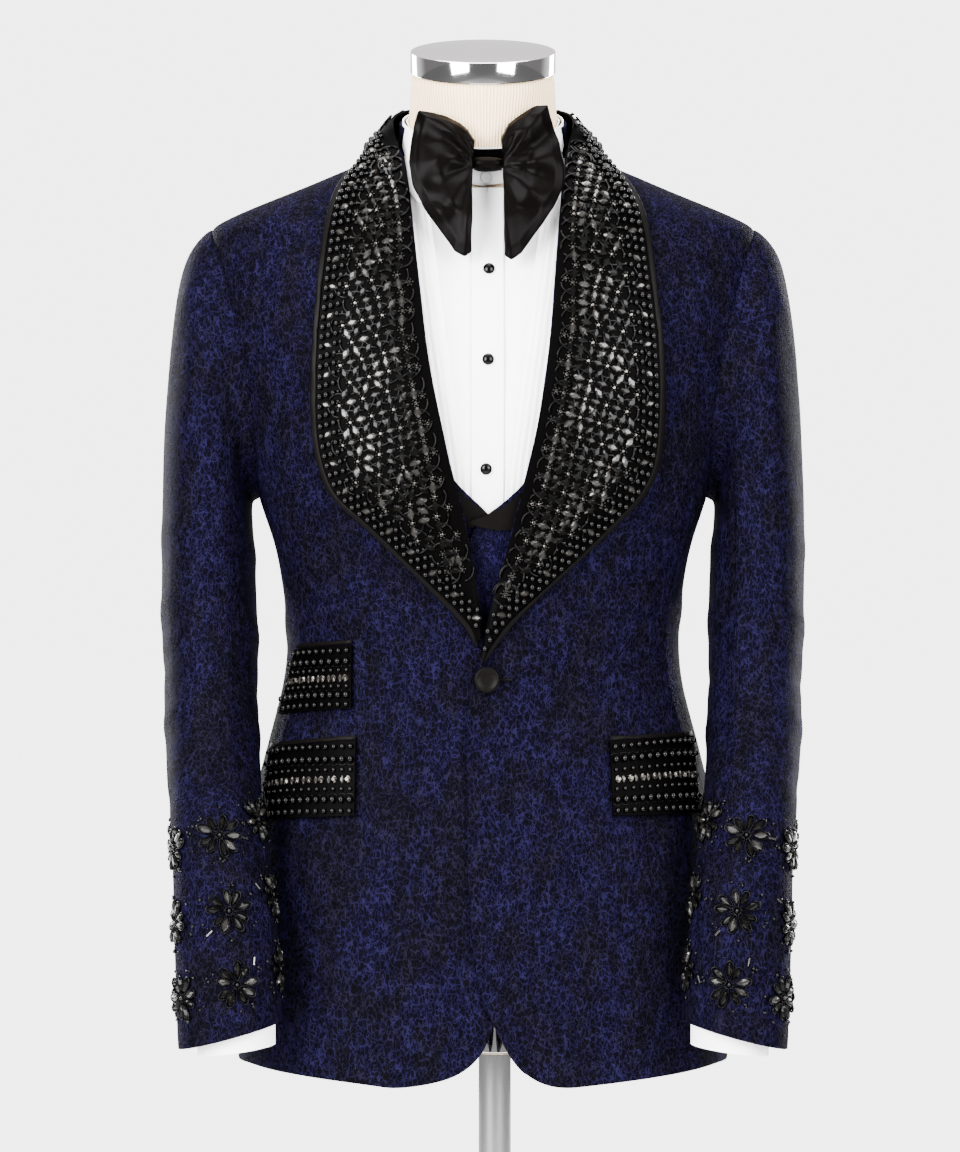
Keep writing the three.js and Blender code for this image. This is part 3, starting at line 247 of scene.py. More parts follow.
@dataclass(frozen=True)
class Finish:
    """Colour and surface of one material, and the record's slot that it stands for."""

    name: str
    slot: str
    colour: Colour
    roughness: float = 0.5

    def material(self) -> bpy.types.Material:
        """The finish's material, built the first time that it is asked for."""
        found = bpy.data.materials.get(self.name)
        if found is not None:
            return found
        made = bpy.data.materials.new(self.name)
        made.use_nodes = True
        made.diffuse_color = (*self.colour, 1.0)
        shader = made.node_tree.nodes["Principled BSDF"]
        shader.inputs["Base Color"].default_value = (*self.colour, 1.0)
        shader.inputs["Roughness"].default_value = self.roughness
        self.dress(Graph(made.node_tree), shader)
        return made

    def dress(self, graph: Graph, shader: bpy.types.Node) -> None:
        """Adds what is special about the finish; the plain one gets slow changes of tone and gloss.

        Args:
            graph: The material's graph.
            shader: Its Principled shader.
        """
        slow = graph.group(GROUPS.ageing(), {"Vector": graph.place(), "Size": 0.05})
        self.vary(graph, shader, slow, 0.12)

    def vary(self, graph: Graph, shader: bpy.types.Node, slow: bpy.types.Node, amount: float) -> None:
        """Lets tone and roughness drift either way.

        Args:
            graph: The material's graph.
            shader: Its Principled shader.
            slow: Placed group that gives the drift.
            amount: Share of the tone and roughness that they drift by.
        """
        dark = tuple(channel * (1 - amount) for channel in self.colour)
        light = tuple(min(channel * (1 + amount), 1.0) for channel in self.colour)
        tone = graph.blend(slow.outputs["Tone"], (*dark, 1.0), (*light, 1.0))
        graph.tree.links.new(tone, shader.inputs["Base Color"])
        low, high = self.roughness * (1 - amount), self.roughness * (1 + amount)
        gloss = graph.node("MapRange", {0: slow.outputs["Gloss"], 3: low, 4: high}).outputs[0]
        graph.tree.links.new(gloss, shader.inputs["Roughness"])

    def bump(
        self, graph: Graph, shader: bpy.types.Node, height: bpy.types.NodeSocket, depth: float,
        strength: float = 1.0,
    ) -> None:
        """Joins a height to the shader's normal.

        Args:
            graph: The material's graph.
            shader: Its Principled shader.
            height: Height of the surface, from 0 to 1.
            depth: What a height of 1 stands for, in metres.
            strength: Share of the bump that is used.
        """
        bump = graph.node("Bump", {"Height": height, "Distance": depth, "Strength": strength})
        graph.tree.links.new(bump.outputs[0], shader.inputs["Normal"])


@dataclass(frozen=True)
class Jacquard(Finish):
    """Dark cloth with raised wriggling threads, bright in some patches and charcoal in the others."""

    ground: Colour = (0.0010, 0.0008, 0.0022)
    line: Colour = (0.0034, 0.0029, 0.0072)
    dark: Colour = (0.0009, 0.0008, 0.0013)
    cell: float = 0.0034
    stretch: float = 1.9
    patch: float = 0.03
    relief: float = 0.0007
    ior: float = 1.05

    def dress(self, graph: Graph, shader: bpy.types.Node) -> None:
        """Draws the outlines in bright thread on the dark ground, with charcoal between the patches."""
        shift = graph.node("Attribute", attribute_name=PANEL_SHIFT).outputs["Vector"]
        spot = graph.vector("ADD", graph.place(), shift)
        inputs = {"Vector": spot, "Cell": self.cell, "Stretch": self.stretch, "Patch Size": self.patch}
        pattern = graph.group(GROUPS.vermicelli(), inputs)
        bright = graph.blend(pattern.outputs["Line"], (*self.ground, 1.0), (*self.colour, 1.0))
        quiet = graph.blend(pattern.outputs["Line"], (*self.dark, 1.0), (*self.line, 1.0))
        tone = graph.blend(pattern.outputs["Patch"], quiet, bright)
        fleck = graph.node("MapRange", {0: pattern.outputs["Fill"], 3: 0.7, 4: 1.15}).outputs[0]
        graph.tree.links.new(graph.scaled(tone, fleck), shader.inputs["Base Color"])
        shader.inputs["Roughness"].default_value = self.roughness
        shader.inputs["IOR"].default_value = self.ior
        self.bump(graph, shader, pattern.outputs["Height"], self.relief)


@dataclass(frozen=True)
class Satin(Finish):
    """Smooth satin with a soft shine and hardly any weave."""

    pitch: float = 0.0009
    relief: float = 0.00005
    ior: float = 1.1

    def dress(self, graph: Graph, shader: bpy.types.Node) -> None:
        """Gives a broad highlight, a faint weave and slow changes of gloss."""
        slow = graph.group(GROUPS.ageing(), {"Vector": graph.place(), "Size": 0.03})
        self.vary(graph, shader, slow, 0.15)
        weave = graph.group(GROUPS.weave(), {"Vector": graph.place(), "Pitch": self.pitch})
        shader.inputs["IOR"].default_value = self.ior
        self.bump(graph, shader, weave.outputs["Height"], self.relief, 0.4)


@dataclass(frozen=True)
class Shirting(Finish):
    """Fine plain-woven shirt cloth."""

    pitch: float = 0.0008
    relief: float = 0.00008
    ior: float = 1.3

    def dress(self, graph: Graph, shader: bpy.types.Node) -> None:
        """Adds the weave and a faint unevenness."""
        slow = graph.group(GROUPS.ageing(), {"Vector": graph.place(), "Size": 0.04})
        self.vary(graph, shader, slow, 0.02)
        weave = graph.group(GROUPS.weave(), {"Vector": graph.place(), "Pitch": self.pitch})
        shader.inputs["IOR"].default_value = self.ior
        self.bump(graph, shader, weave.outputs["Height"], self.relief, 0.6)


@dataclass(frozen=True)
class Ribbed(Finish):
    """Ribbed jersey whose ribs run up round a body, with painted shade in the furrows between the ribs."""

    ribs: float = 150.0
    centre_y: float = -0.012
    # Share of the colour that the furrows keep: painted shade.
    furrow_shade: float = 0.72
    relief: float = 0.0005
    ior: float = 1.2

    def dress(self, graph: Graph, shader: bpy.types.Node) -> None:
        """Cuts the ribs by angle about the body's upright axis and darkens the furrows between them, painted
        shade.
        """
        parts = graph.node("SeparateXYZ", {0: graph.place()})
        back = graph.math("SUBTRACT", parts.outputs[1], self.centre_y)
        angle = graph.math("ARCTAN2", parts.outputs[0], back)
        wave = graph.math("SINE", graph.math("MULTIPLY", angle, self.ribs))
        crest = graph.steps(wave, -0.9, 0.7)
        # Painted shade: the furrows between the ribs are darker than the crests.
        low = tuple(channel * self.furrow_shade for channel in self.colour)
        tone = graph.blend(crest, (*low, 1.0), (*self.colour, 1.0))
        graph.tree.links.new(tone, shader.inputs["Base Color"])
        knit = graph.node("TexNoise", {"Vector": graph.place(), "Scale": 700.0, "Detail": 2.0}).outputs[0]
        height = graph.math("ADD", crest, graph.math("MULTIPLY", knit, 0.3))
        shader.inputs["IOR"].default_value = self.ior
        self.bump(graph, shader, height, self.relief)


@dataclass(frozen=True)
class Metal(Finish):
    """Polished or brushed metal."""

    brushed: float = 0.0
    scratch: float = 0.00005

    def dress(self, graph: Graph, shader: bpy.types.Node) -> None:
        """Metal with faint wipe marks, and with fine scratches where it is brushed."""
        shader.inputs["Metallic"].default_value = 1.0
        slow = graph.group(GROUPS.ageing(), {"Vector": graph.place(), "Size": 0.06})
        self.vary(graph, shader, slow, 0.06)
        if self.brushed:
            drawn = graph.vector("MULTIPLY", graph.place(), (60.0, 900.0, 900.0))
            lines = graph.node("TexNoise", {"Vector": drawn, "Scale": 1.0, "Detail": 2.0}).outputs[0]
            self.bump(graph, shader, lines, self.scratch, self.brushed)


@dataclass(frozen=True)
class Gloss(Finish):
    """Cut stone, glass bead or polished button: dark, hard and shiny."""

    coat: float = 0.0
    ior: float = 1.5

    def dress(self, graph: Graph, shader: bpy.types.Node) -> None:
        """Adds a clear coat and a slight change of tone from bead to bead."""
        slow = graph.group(GROUPS.ageing(), {"Vector": graph.place(), "Size": 0.006})
        self.vary(graph, shader, slow, 0.3)
        shader.inputs["Coat Weight"].default_value = self.coat
        shader.inputs["Coat Roughness"].default_value = 0.04
        shader.inputs["IOR"].default_value = self.ior


JACQUARD = Jacquard("jacquard_blue", "jacquard", (0.0044, 0.0034, 0.0150), 0.6)
BROCADE = Jacquard(
    "brocade_blue", "brocade", (0.0052, 0.0038, 0.0180), 0.55,
    ground=(0.0014, 0.0011, 0.0048), line=(0.0036, 0.0029, 0.0105), dark=(0.0012, 0.001, 0.0034),
    cell=0.0028, patch=0.03,
)
SATIN = Satin("satin_black", "satin", (0.0016, 0.0013, 0.0012), 0.4)
BOW_SATIN = Satin("satin_bow", "satin", (0.0009, 0.0006, 0.0006), 0.34, ior=1.075)
LAPEL_SATIN = Satin("satin_lapel", "beaded_satin", (0.0005, 0.0004, 0.0004), 0.45, ior=1.05)
WHITE = Shirting("shirt_white", "shirting", (0.93, 0.925, 0.95), 0.7)
JERSEY = Ribbed("jersey_ivory", "jersey", (0.98, 0.74, 0.46), 0.85)
CHROME = Metal("chrome_polished", "chrome", (0.62, 0.61, 0.61), 0.07)
CHROME_TOP = Metal("chrome_brushed", "chrome", (0.42, 0.385, 0.39), 0.3, brushed=0.6)
STEEL = Metal("steel_brushed", "steel", (0.5, 0.5, 0.52), 0.35, brushed=0.5)
STUD_BLACK = Gloss("stud_enamel", "stud_black", (0.0008, 0.0008, 0.0008), 0.06, ior=1.2)
BUTTON_WHITE = Gloss("button_pearl", "button_white", (0.6, 0.59, 0.58), 0.2, coat=0.3)
PEARL = Gloss("bead_round", "beaded_satin", (0.0007, 0.0006, 0.0006), 0.1, ior=1.24)
# The next two finishes are lit and shaded copies of one cut stone: the first's brighter colour and higher IOR
# are a painted glint, the second's darker colour is painted shade.
LIT_STONE = Gloss("stone_painted_glint", "beaded_satin", (0.008, 0.0074, 0.0066), 0.2, ior=1.4)
PETAL = Gloss("stone_painted_shade", "beaded_satin", (0.0014, 0.0013, 0.0012), 0.16, ior=1.17)
SPARK = Metal("stone_spark", "beaded_satin", (0.06, 0.055, 0.049), 0.22)
BUGLE = Gloss("bugle_bead", "beaded_satin", (0.0007, 0.0006, 0.0006), 0.2, ior=1.15)
SILVER = Metal("bugle_silver", "beaded_satin", (0.06, 0.057, 0.054), 0.35)


# Meshes


MERGE = 2e-6
FLAT_PAIR = math.radians(35)
SHARP_EDGE = math.radians(40)
TURNED_EDGE = math.radians(20)


def link(name: str, mesh: bpy.types.Mesh, finish: Finish) -> bpy.types.Object:
    """Adds a mesh to the scene as a smooth piece.

    Args:
        name: Name of the piece.
        mesh: Its mesh.
        finish: Its only finish.

    Returns:
        The piece.
    """
    mesh.name = name
    mesh.materials.clear()
    mesh.materials.append(finish.material())
    mesh.polygons.foreach_set("use_smooth", [True] * len(mesh.polygons))
    made = bpy.data.objects.new(name, mesh)
    bpy.context.scene.collection.objects.link(made)
    return made


def settle(piece: bpy.types.Object, nodes: Iterable[str] = ()) -> bpy.types.Object:
    """Makes a finished piece ride on the part and stand for its nodes.

    Args:
        piece: The piece.
        nodes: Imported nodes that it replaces.

    Returns:
        The same piece.
    """
    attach(piece, "root")
    for node in nodes:
        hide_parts(node)
    return piece


def copy_of(node: str) -> bmesh.types.BMesh:
    """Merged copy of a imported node's mesh, its triangle pairs joined to quads where they were cut.

    Args:
        node: Name of the node.

    Returns:
        The copy, which the caller frees.
    """
    bm = bmesh.new()
    bm.from_mesh(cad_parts[node].data)
    bmesh.ops.remove_doubles(bm, verts=bm.verts, dist=MERGE)
    longest = {face: max(face.edges, key=lambda edge: edge.calc_length()) for face in bm.faces}
    cut = [
        edge
        for edge in bm.edges
        if len(edge.link_faces) == 2
        and all(longest[face] is edge for face in edge.link_faces)
        and edge.calc_face_angle(0) < FLAT_PAIR
    ]
    bmesh.ops.dissolve_edges(bm, edges=cut, use_verts=False)
    bm.normal_update()
    return bm


def outer_face(node: str, rim_angle: float = 60.0) -> bmesh.types.BMesh:
    """The outer face of a cloth wall: the largest stretch of the node that no sharp edge crosses.

    Args:
        node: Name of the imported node.
        rim_angle: Angle in degrees from which an edge is a rim.

    Returns:
        The open face, which the caller frees.
    """
    bm = copy_of(node)
    sharp = math.radians(rim_angle)
    left, areas = set(bm.faces), []
    while left:
        stack, found = [left.pop()], []
        while stack:
            face = stack.pop()
            found.append(face)
            for edge in face.edges:
                if len(edge.link_faces) == 2 and edge.calc_face_angle(0) < sharp:
                    for other in edge.link_faces:
                        if other in left:
                            left.discard(other)
                            stack.append(other)
        areas.append((sum(face.calc_area() for face in found), len(areas), found))
    keep = set(max(areas)[2])
    bmesh.ops.delete(bm, geom=[face for face in bm.faces if face not in keep], context="FACES")
    return bm


def subdivided(
    bm: bmesh.types.BMesh, levels: int, simple: bool = False, corners: str = "PRESERVE_CORNERS"
) -> bpy.types.Mesh:
    """Smooth surface through a coarse mesh.

    Args:
        bm: The coarse mesh, which is freed.
        levels: How many times each face is divided.
        simple: Divide without rounding.
        corners: Whether corners stay sharp, as the modifier's setting names it.

    Returns:
        The fine mesh.
    """
    mesh = bpy.data.meshes.new("draft")
    bm.to_mesh(mesh)
    bm.free()
    draft = bpy.data.objects.new("draft", mesh)
    bpy.context.scene.collection.objects.link(draft)
    divide = draft.modifiers.new("divide", "SUBSURF")
    divide.levels = divide.render_levels = levels
    divide.boundary_smooth = corners
    divide.subdivision_type = "SIMPLE" if simple else "CATMULL_CLARK"
    fine = bpy.data.meshes.new_from_object(draft.evaluated_get(bpy.context.evaluated_depsgraph_get()))
    bpy.data.objects.remove(draft)
    bpy.data.meshes.remove(mesh)
    return fine


class Side(Enum):
    """The side of the body that a crease lies on: its outward direction."""

    FRONT = (0, -1, 0)
    BACK = (0, 1, 0)
    RIGHT = (-1, 0, 0)
    LEFT = (1, 0, 0)


@dataclass(frozen=True)
class Crease:
    """Soft ridge, or trough where its height is negative, along a line on one side of the body.

    The line's ends are given across and up in millimetres; across is x on the front and back, and y on
    the sides.
    """

    side: Side
    start: tuple[float, float]
    end: tuple[float, float]
    height: float
    width: float

    def push(self, point: Vector, normal: Vector) -> float:
        """How far the crease moves a point out along its normal.

        Args:
            point: The point.
            normal: The cloth's outward direction there.

        Returns:
            The distance in metres, negative for a trough.
        """
        facing = normal.dot(Vector(self.side.value))
        if facing <= 0:
            return 0.0
        across = point.y if self.side in (Side.RIGHT, Side.LEFT) else point.x
        here = Vector((across / MM, point.z / MM))
        start, end = Vector(self.start), Vector(self.end)
        line = end - start
        share = (here - start).dot(line) / line.length_squared
        bow = 0.06 * line.length * math.sin(math.pi * min(max(share, 0), 1))
        off = line.normalized().cross(here - start) - bow
        along = ramp(share, -0.15, 0.35) * ramp(share, 1.15, 0.55)
        return self.height * MM * math.exp(-((off / self.width) ** 2)) * along * facing


JACKET_CREASES = (
    Crease(Side.FRONT, (20, 640), (118, 668), 1.6, 7),
    Crease(Side.FRONT, (28, 622), (122, 622), -1.3, 9),
    Crease(Side.FRONT, (-22, 640), (-104, 690), 1.5, 8),
    Crease(Side.FRONT, (-24, 618), (-92, 600), -1.2, 9),
    Crease(Side.FRONT, (160, 860), (128, 700), 1.8, 10),
    Crease(Side.FRONT, (-166, 850), (-138, 690), 1.7, 11),
    Crease(Side.FRONT, (120, 520), (150, 372), 1.6, 16),
    Crease(Side.FRONT, (-112, 500), (-128, 352), 1.8, 15),
    Crease(Side.FRONT, (56, 500), (66, 350), -1.4, 17),
    Crease(Side.FRONT, (-58, 520), (-62, 360), 1.2, 18),
    Crease(Side.FRONT, (182, 935), (168, 850), -1.5, 9),
    Crease(Side.FRONT, (-186, 930), (-172, 845), -1.5, 9),
    Crease(Side.BACK, (18, 1030), (120, 985), 1.7, 11),
    Crease(Side.BACK, (-16, 1028), (-126, 990), 1.6, 12),
    Crease(Side.BACK, (150, 900), (96, 735), 2.6, 13),
    Crease(Side.BACK, (-146, 906), (-90, 728), 2.4, 14),
    Crease(Side.BACK, (172, 868), (132, 720), -1.8, 9),
    Crease(Side.BACK, (-170, 860), (-126, 716), -1.8, 10),
    Crease(Side.BACK, (10, 700), (110, 668), 2.0, 9),
    Crease(Side.BACK, (-8, 690), (-104, 652), 2.2, 10),
    Crease(Side.BACK, (24, 664), (112, 648), -1.5, 8),
    Crease(Side.BACK, (-30, 716), (-96, 700), 1.5, 8),
    Crease(Side.BACK, (60, 560), (78, 360), 2.2, 20),
    Crease(Side.BACK, (-72, 570), (-92, 350), 2.4, 21),
    Crease(Side.BACK, (112, 520), (140, 350), -1.6, 16),
    Crease(Side.BACK, (-124, 500), (-140, 360), -1.6, 15),
    Crease(Side.LEFT, (-20, 700), (50, 640), 1.8, 9),
    Crease(Side.RIGHT, (-24, 690), (46, 634), 1.8, 10),
    Crease(Side.LEFT, (10, 540), (0, 350), 1.8, 16),
    Crease(Side.RIGHT, (4, 550), (-6, 350), 1.8, 17),
)

SLEEVE_CREASES = (
    Crease(Side.LEFT, (-66, 690), (30, 640), 3.0, 9),
    Crease(Side.LEFT, (-80, 646), (20, 590), -2.4, 9),
    Crease(Side.LEFT, (-96, 612), (0, 556), 2.8, 10),
    Crease(Side.LEFT, (-60, 742), (48, 716), 1.9, 10),
    Crease(Side.LEFT, (-110, 560), (-40, 520), -1.8, 9),
    Crease(Side.LEFT, (-46, 960), (-30, 840), 1.7, 10),
    Crease(Side.LEFT, (46, 950), (40, 820), 2.2, 12),
    Crease(Side.LEFT, (0, 900), (14, 780), -1.5, 14),
    Crease(Side.RIGHT, (-62, 700), (34, 654), 2.8, 10),
    Crease(Side.RIGHT, (-78, 658), (26, 600), -2.3, 9),
    Crease(Side.RIGHT, (-100, 618), (-8, 566), 2.7, 9),
    Crease(Side.RIGHT, (-64, 756), (40, 724), 2.0, 11),
    Crease(Side.RIGHT, (-112, 548), (-44, 510), -1.7, 9),
    Crease(Side.RIGHT, (-44, 950), (-34, 846), 1.8, 11),
    Crease(Side.RIGHT, (50, 940), (36, 812), 2.3, 12),
    Crease(Side.RIGHT, (4, 890), (10, 770), -1.4, 13),
    Crease(Side.FRONT, (196, 760), (246, 716), 1.8, 9),
    Crease(Side.FRONT, (194, 690), (250, 662), -1.7, 8),
    Crease(Side.FRONT, (190, 652), (246, 604), 2.4, 9),
    Crease(Side.FRONT, (184, 606), (240, 570), -1.6, 8),
    Crease(Side.FRONT, (-198, 764), (-248, 728), 1.8, 9),
    Crease(Side.FRONT, (-192, 700), (-250, 666), -1.6, 9),
    Crease(Side.FRONT, (-190, 660), (-244, 612), 2.4, 9),
    Crease(Side.FRONT, (-182, 600), (-238, 560), -1.5, 8),
    Crease(Side.FRONT, (232, 940), (206, 840), 1.6, 9),
    Crease(Side.FRONT, (-234, 934), (-208, 836), 1.7, 9),
    Crease(Side.BACK, (196, 700), (250, 640), 2.8, 10),
    Crease(Side.BACK, (-196, 690), (-250, 634), 2.8, 11),
    Crease(Side.BACK, (190, 640), (246, 596), -2.0, 9),
    Crease(Side.BACK, (-190, 632), (-246, 590), -2.0, 9),
    Crease(Side.BACK, (210, 930), (236, 800), 2.0, 12),
    Crease(Side.BACK, (-212, 936), (-236, 806), 2.0, 12),
)


CROWN_START, CROWN_END = 0.955, 0.985
FRONT_EDGE = 0.035
BUTTON_HEIGHT = 0.64


@dataclass(frozen=True)
class Drape:
    """How a layer of cloth hangs: its creases, and the size and span of its slow unevenness.

    The seam's groove, the lap of the rim over its neighbour, the further lap at the top of a sleeve and
    the lift of the free front edge are in millimetres.
    """

    creases: tuple[Crease, ...] = ()
    ripple: float = 0.5
    span: float = 0.09
    seed: float = 0.0
    depth: float = 1.0
    seam: float = 0.0
    lap: float = 0.0
    crown_lap: float = 0.0
    lift: float = 0.0

    def widen(self, bm: bmesh.types.BMesh) -> None:
        """Moves the rim outwards in the cloth's own surface, so that neighbours meet in a closed seam.

        Args:
            bm: The open face of a panel.
        """
        ways: dict[bmesh.types.BMVert, Vector] = {}
        for edge in bm.edges:
            if edge.is_boundary:
                first, second = edge.verts
                along = (second.co - first.co).normalized()
                way = (first.co + second.co) / 2 - edge.link_faces[0].calc_center_median()
                way = (way - along * way.dot(along)).normalized()
                for vertex in edge.verts:
                    ways[vertex] = ways.get(vertex, Vector()) + way
        for vertex, way in ways.items():
            reach = lerp(self.lap, self.lap + self.crown_lap, ramp(vertex.co.z, CROWN_START, CROWN_END))
            vertex.co += way.normalized() * reach * MM

    def apply(self, mesh: bpy.types.Mesh) -> None:
        """Moves each point in or out along its normal.

        Args:
            mesh: The fine mesh of a panel or a piece.
        """
        offset = Vector((self.seed, self.seed * 1.7, self.seed * 0.6))
        moved = np.empty(len(mesh.vertices) * 3, np.float32)
        uses = np.zeros(len(mesh.edges), int)
        sides = np.empty(len(mesh.loops), int)
        mesh.loops.foreach_get("edge_index", sides)
        np.add.at(uses, sides, 1)
        rim = {index for edge in mesh.edges if uses[edge.index] == 1 for index in edge.vertices}
        for vertex in mesh.vertices:
            point, normal = vertex.co, vertex.normal
            broad = noise.noise(point / self.span + offset)
            wave = broad + 0.5 * noise.noise(point / (self.span * 0.45) + offset)
            folds = sum(crease.push(point, normal) for crease in self.creases)
            push = self.ripple * MM * wave + self.depth * folds
            if vertex.index in rim:
                middle = abs(point.x) < FRONT_EDGE and point.y < 0 and point.z < BUTTON_HEIGHT
                push += (self.lift if self.lift and middle else -self.seam) * MM
            moved[vertex.index * 3 : vertex.index * 3 + 3] = point + normal * push
        mesh.vertices.foreach_set("co", moved)
        mesh.update()


JACKET_DRAPE = Drape(JACKET_CREASES, 0.7, 0.1)
PANEL_DRAPE = Drape(JACKET_CREASES, 0.7, 0.1, seam=0.45, lap=0.8)
FRONT_DRAPE = Drape(JACKET_CREASES, 0.7, 0.1, seam=0.45, lap=0.8, lift=1.0)
SLEEVE_DRAPE = Drape(SLEEVE_CREASES, 0.6, 0.085, depth=0.5, seam=0.3, lap=1.2, crown_lap=3.2)
INNER_DRAPE = Drape((), 0.35, 0.07, 3.0)
STILL = Drape((), 0.0)


@dataclass(frozen=True)
class Cut:
    """Flat piece that a panel was cut to: width, length and area in metres, and how it is held."""

    width: float
    length: float
    area: float
    held: str = "stretched"
    rests_on: tuple[str, ...] = ("form_torso",)


@dataclass
class ClothPanel:
    """One cut panel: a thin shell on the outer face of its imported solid, creased and then thickened."""

    node: str
    finish: Finish
    cut: Cut
    wall: float
    drape: Drape = STILL
    levels: int = 3
    simple: bool = False
    rim_angle: float = 60.0
    soft_corner: tuple[float, float, float] | None = None
    piece: bpy.types.Object | None = None

    def _keep_corners(self, face: bmesh.types.BMesh) -> None:
        """Marks every corner to stay sharp but the one nearest to the soft corner.

        Args:
            face: The panel's open face.
        """
        layer = face.verts.layers.float.new("crease_vert")
        corners = [vertex for vertex in face.verts if len(vertex.link_edges) == 2]
        soft = min(corners, key=lambda vertex: (vertex.co - Vector(self.soft_corner)).length)
        for vertex in corners:
            vertex[layer] = 0.0 if vertex is soft else 1.0

    def _shift_pattern(self, mesh: bpy.types.Mesh) -> None:
        """Gives the panel its own place in the cloth's pattern, so that the pattern breaks at the seams.

        Args:
            mesh: The panel's mesh.
        """
        shift = mesh.attributes.new(PANEL_SHIFT, "FLOAT_VECTOR", "POINT")
        mark = sum(ord(letter) * (place + 3) for place, letter in enumerate(self.node))
        share = mark % SHIFT_STEPS / SHIFT_STEPS
        shift.data.foreach_set("vector", [share, 1 - share, 0.6 * share] * len(mesh.vertices))

    def build(self) -> bpy.types.Object:
        """Returns:
            The finished piece.
        """
        face = outer_face(self.node, self.rim_angle)
        if self.soft_corner:
            self._keep_corners(face)
        corners = "ALL" if self.soft_corner else "PRESERVE_CORNERS"
        mesh = subdivided(face, self.levels, self.simple, corners)
        self.drape.apply(mesh)
        self._shift_pattern(mesh)
        bm = bmesh.new()
        bm.from_mesh(mesh)
        self.drape.widen(bm)
        for edge in bm.edges:
            edge.smooth = not edge.is_boundary
        bm.to_mesh(mesh)
        bm.free()
        self.piece = link(self.node + "_cloth", mesh, self.finish)
        shell = self.piece.modifiers.new("wall", "SOLIDIFY")
        shell.thickness = self.wall
        shell.offset = -1.0
        settle(self.piece, [self.node])
        return self.piece

    def surface(self) -> BVHTree:
        """Search tree of the panel's outer face."""
        bm = bmesh.new()
        bm.from_mesh(self.piece.data)
        tree = BVHTree.FromBMesh(bm)
        bm.free()
        return tree


@dataclass
class SolidPiece:
    """Closed small piece, such as piping or a stud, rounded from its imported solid."""

    node: str
    finish: Finish
    levels: int = 2
    crease: float = 0.0
    drape: Drape = STILL

    def build(self) -> bpy.types.Object:
        """Makes the rounded piece, with its sharp edges partly kept.

        Returns:
            The finished piece.
        """
        bm = copy_of(self.node)
        layer = bm.edges.layers.float.new("crease_edge")
        for edge in bm.edges:
            if len(edge.link_faces) == 2 and edge.calc_face_angle(0) > SHARP_EDGE:
                edge[layer] = self.crease
        mesh = subdivided(bm, self.levels)
        self.drape.apply(mesh)
        return settle(link(self.node + "_piece", mesh, self.finish), [self.node])


# Beadwork


class Shape(Enum):
    """Kinds of bead and stone."""

    PEARL = "pearl"
    NAVETTE = "navette"
    CRYSTAL = "crystal"
    BUGLE = "bugle"
    ARC = "arc"
    PETAL = "petal"
    LEAF = "leaf"


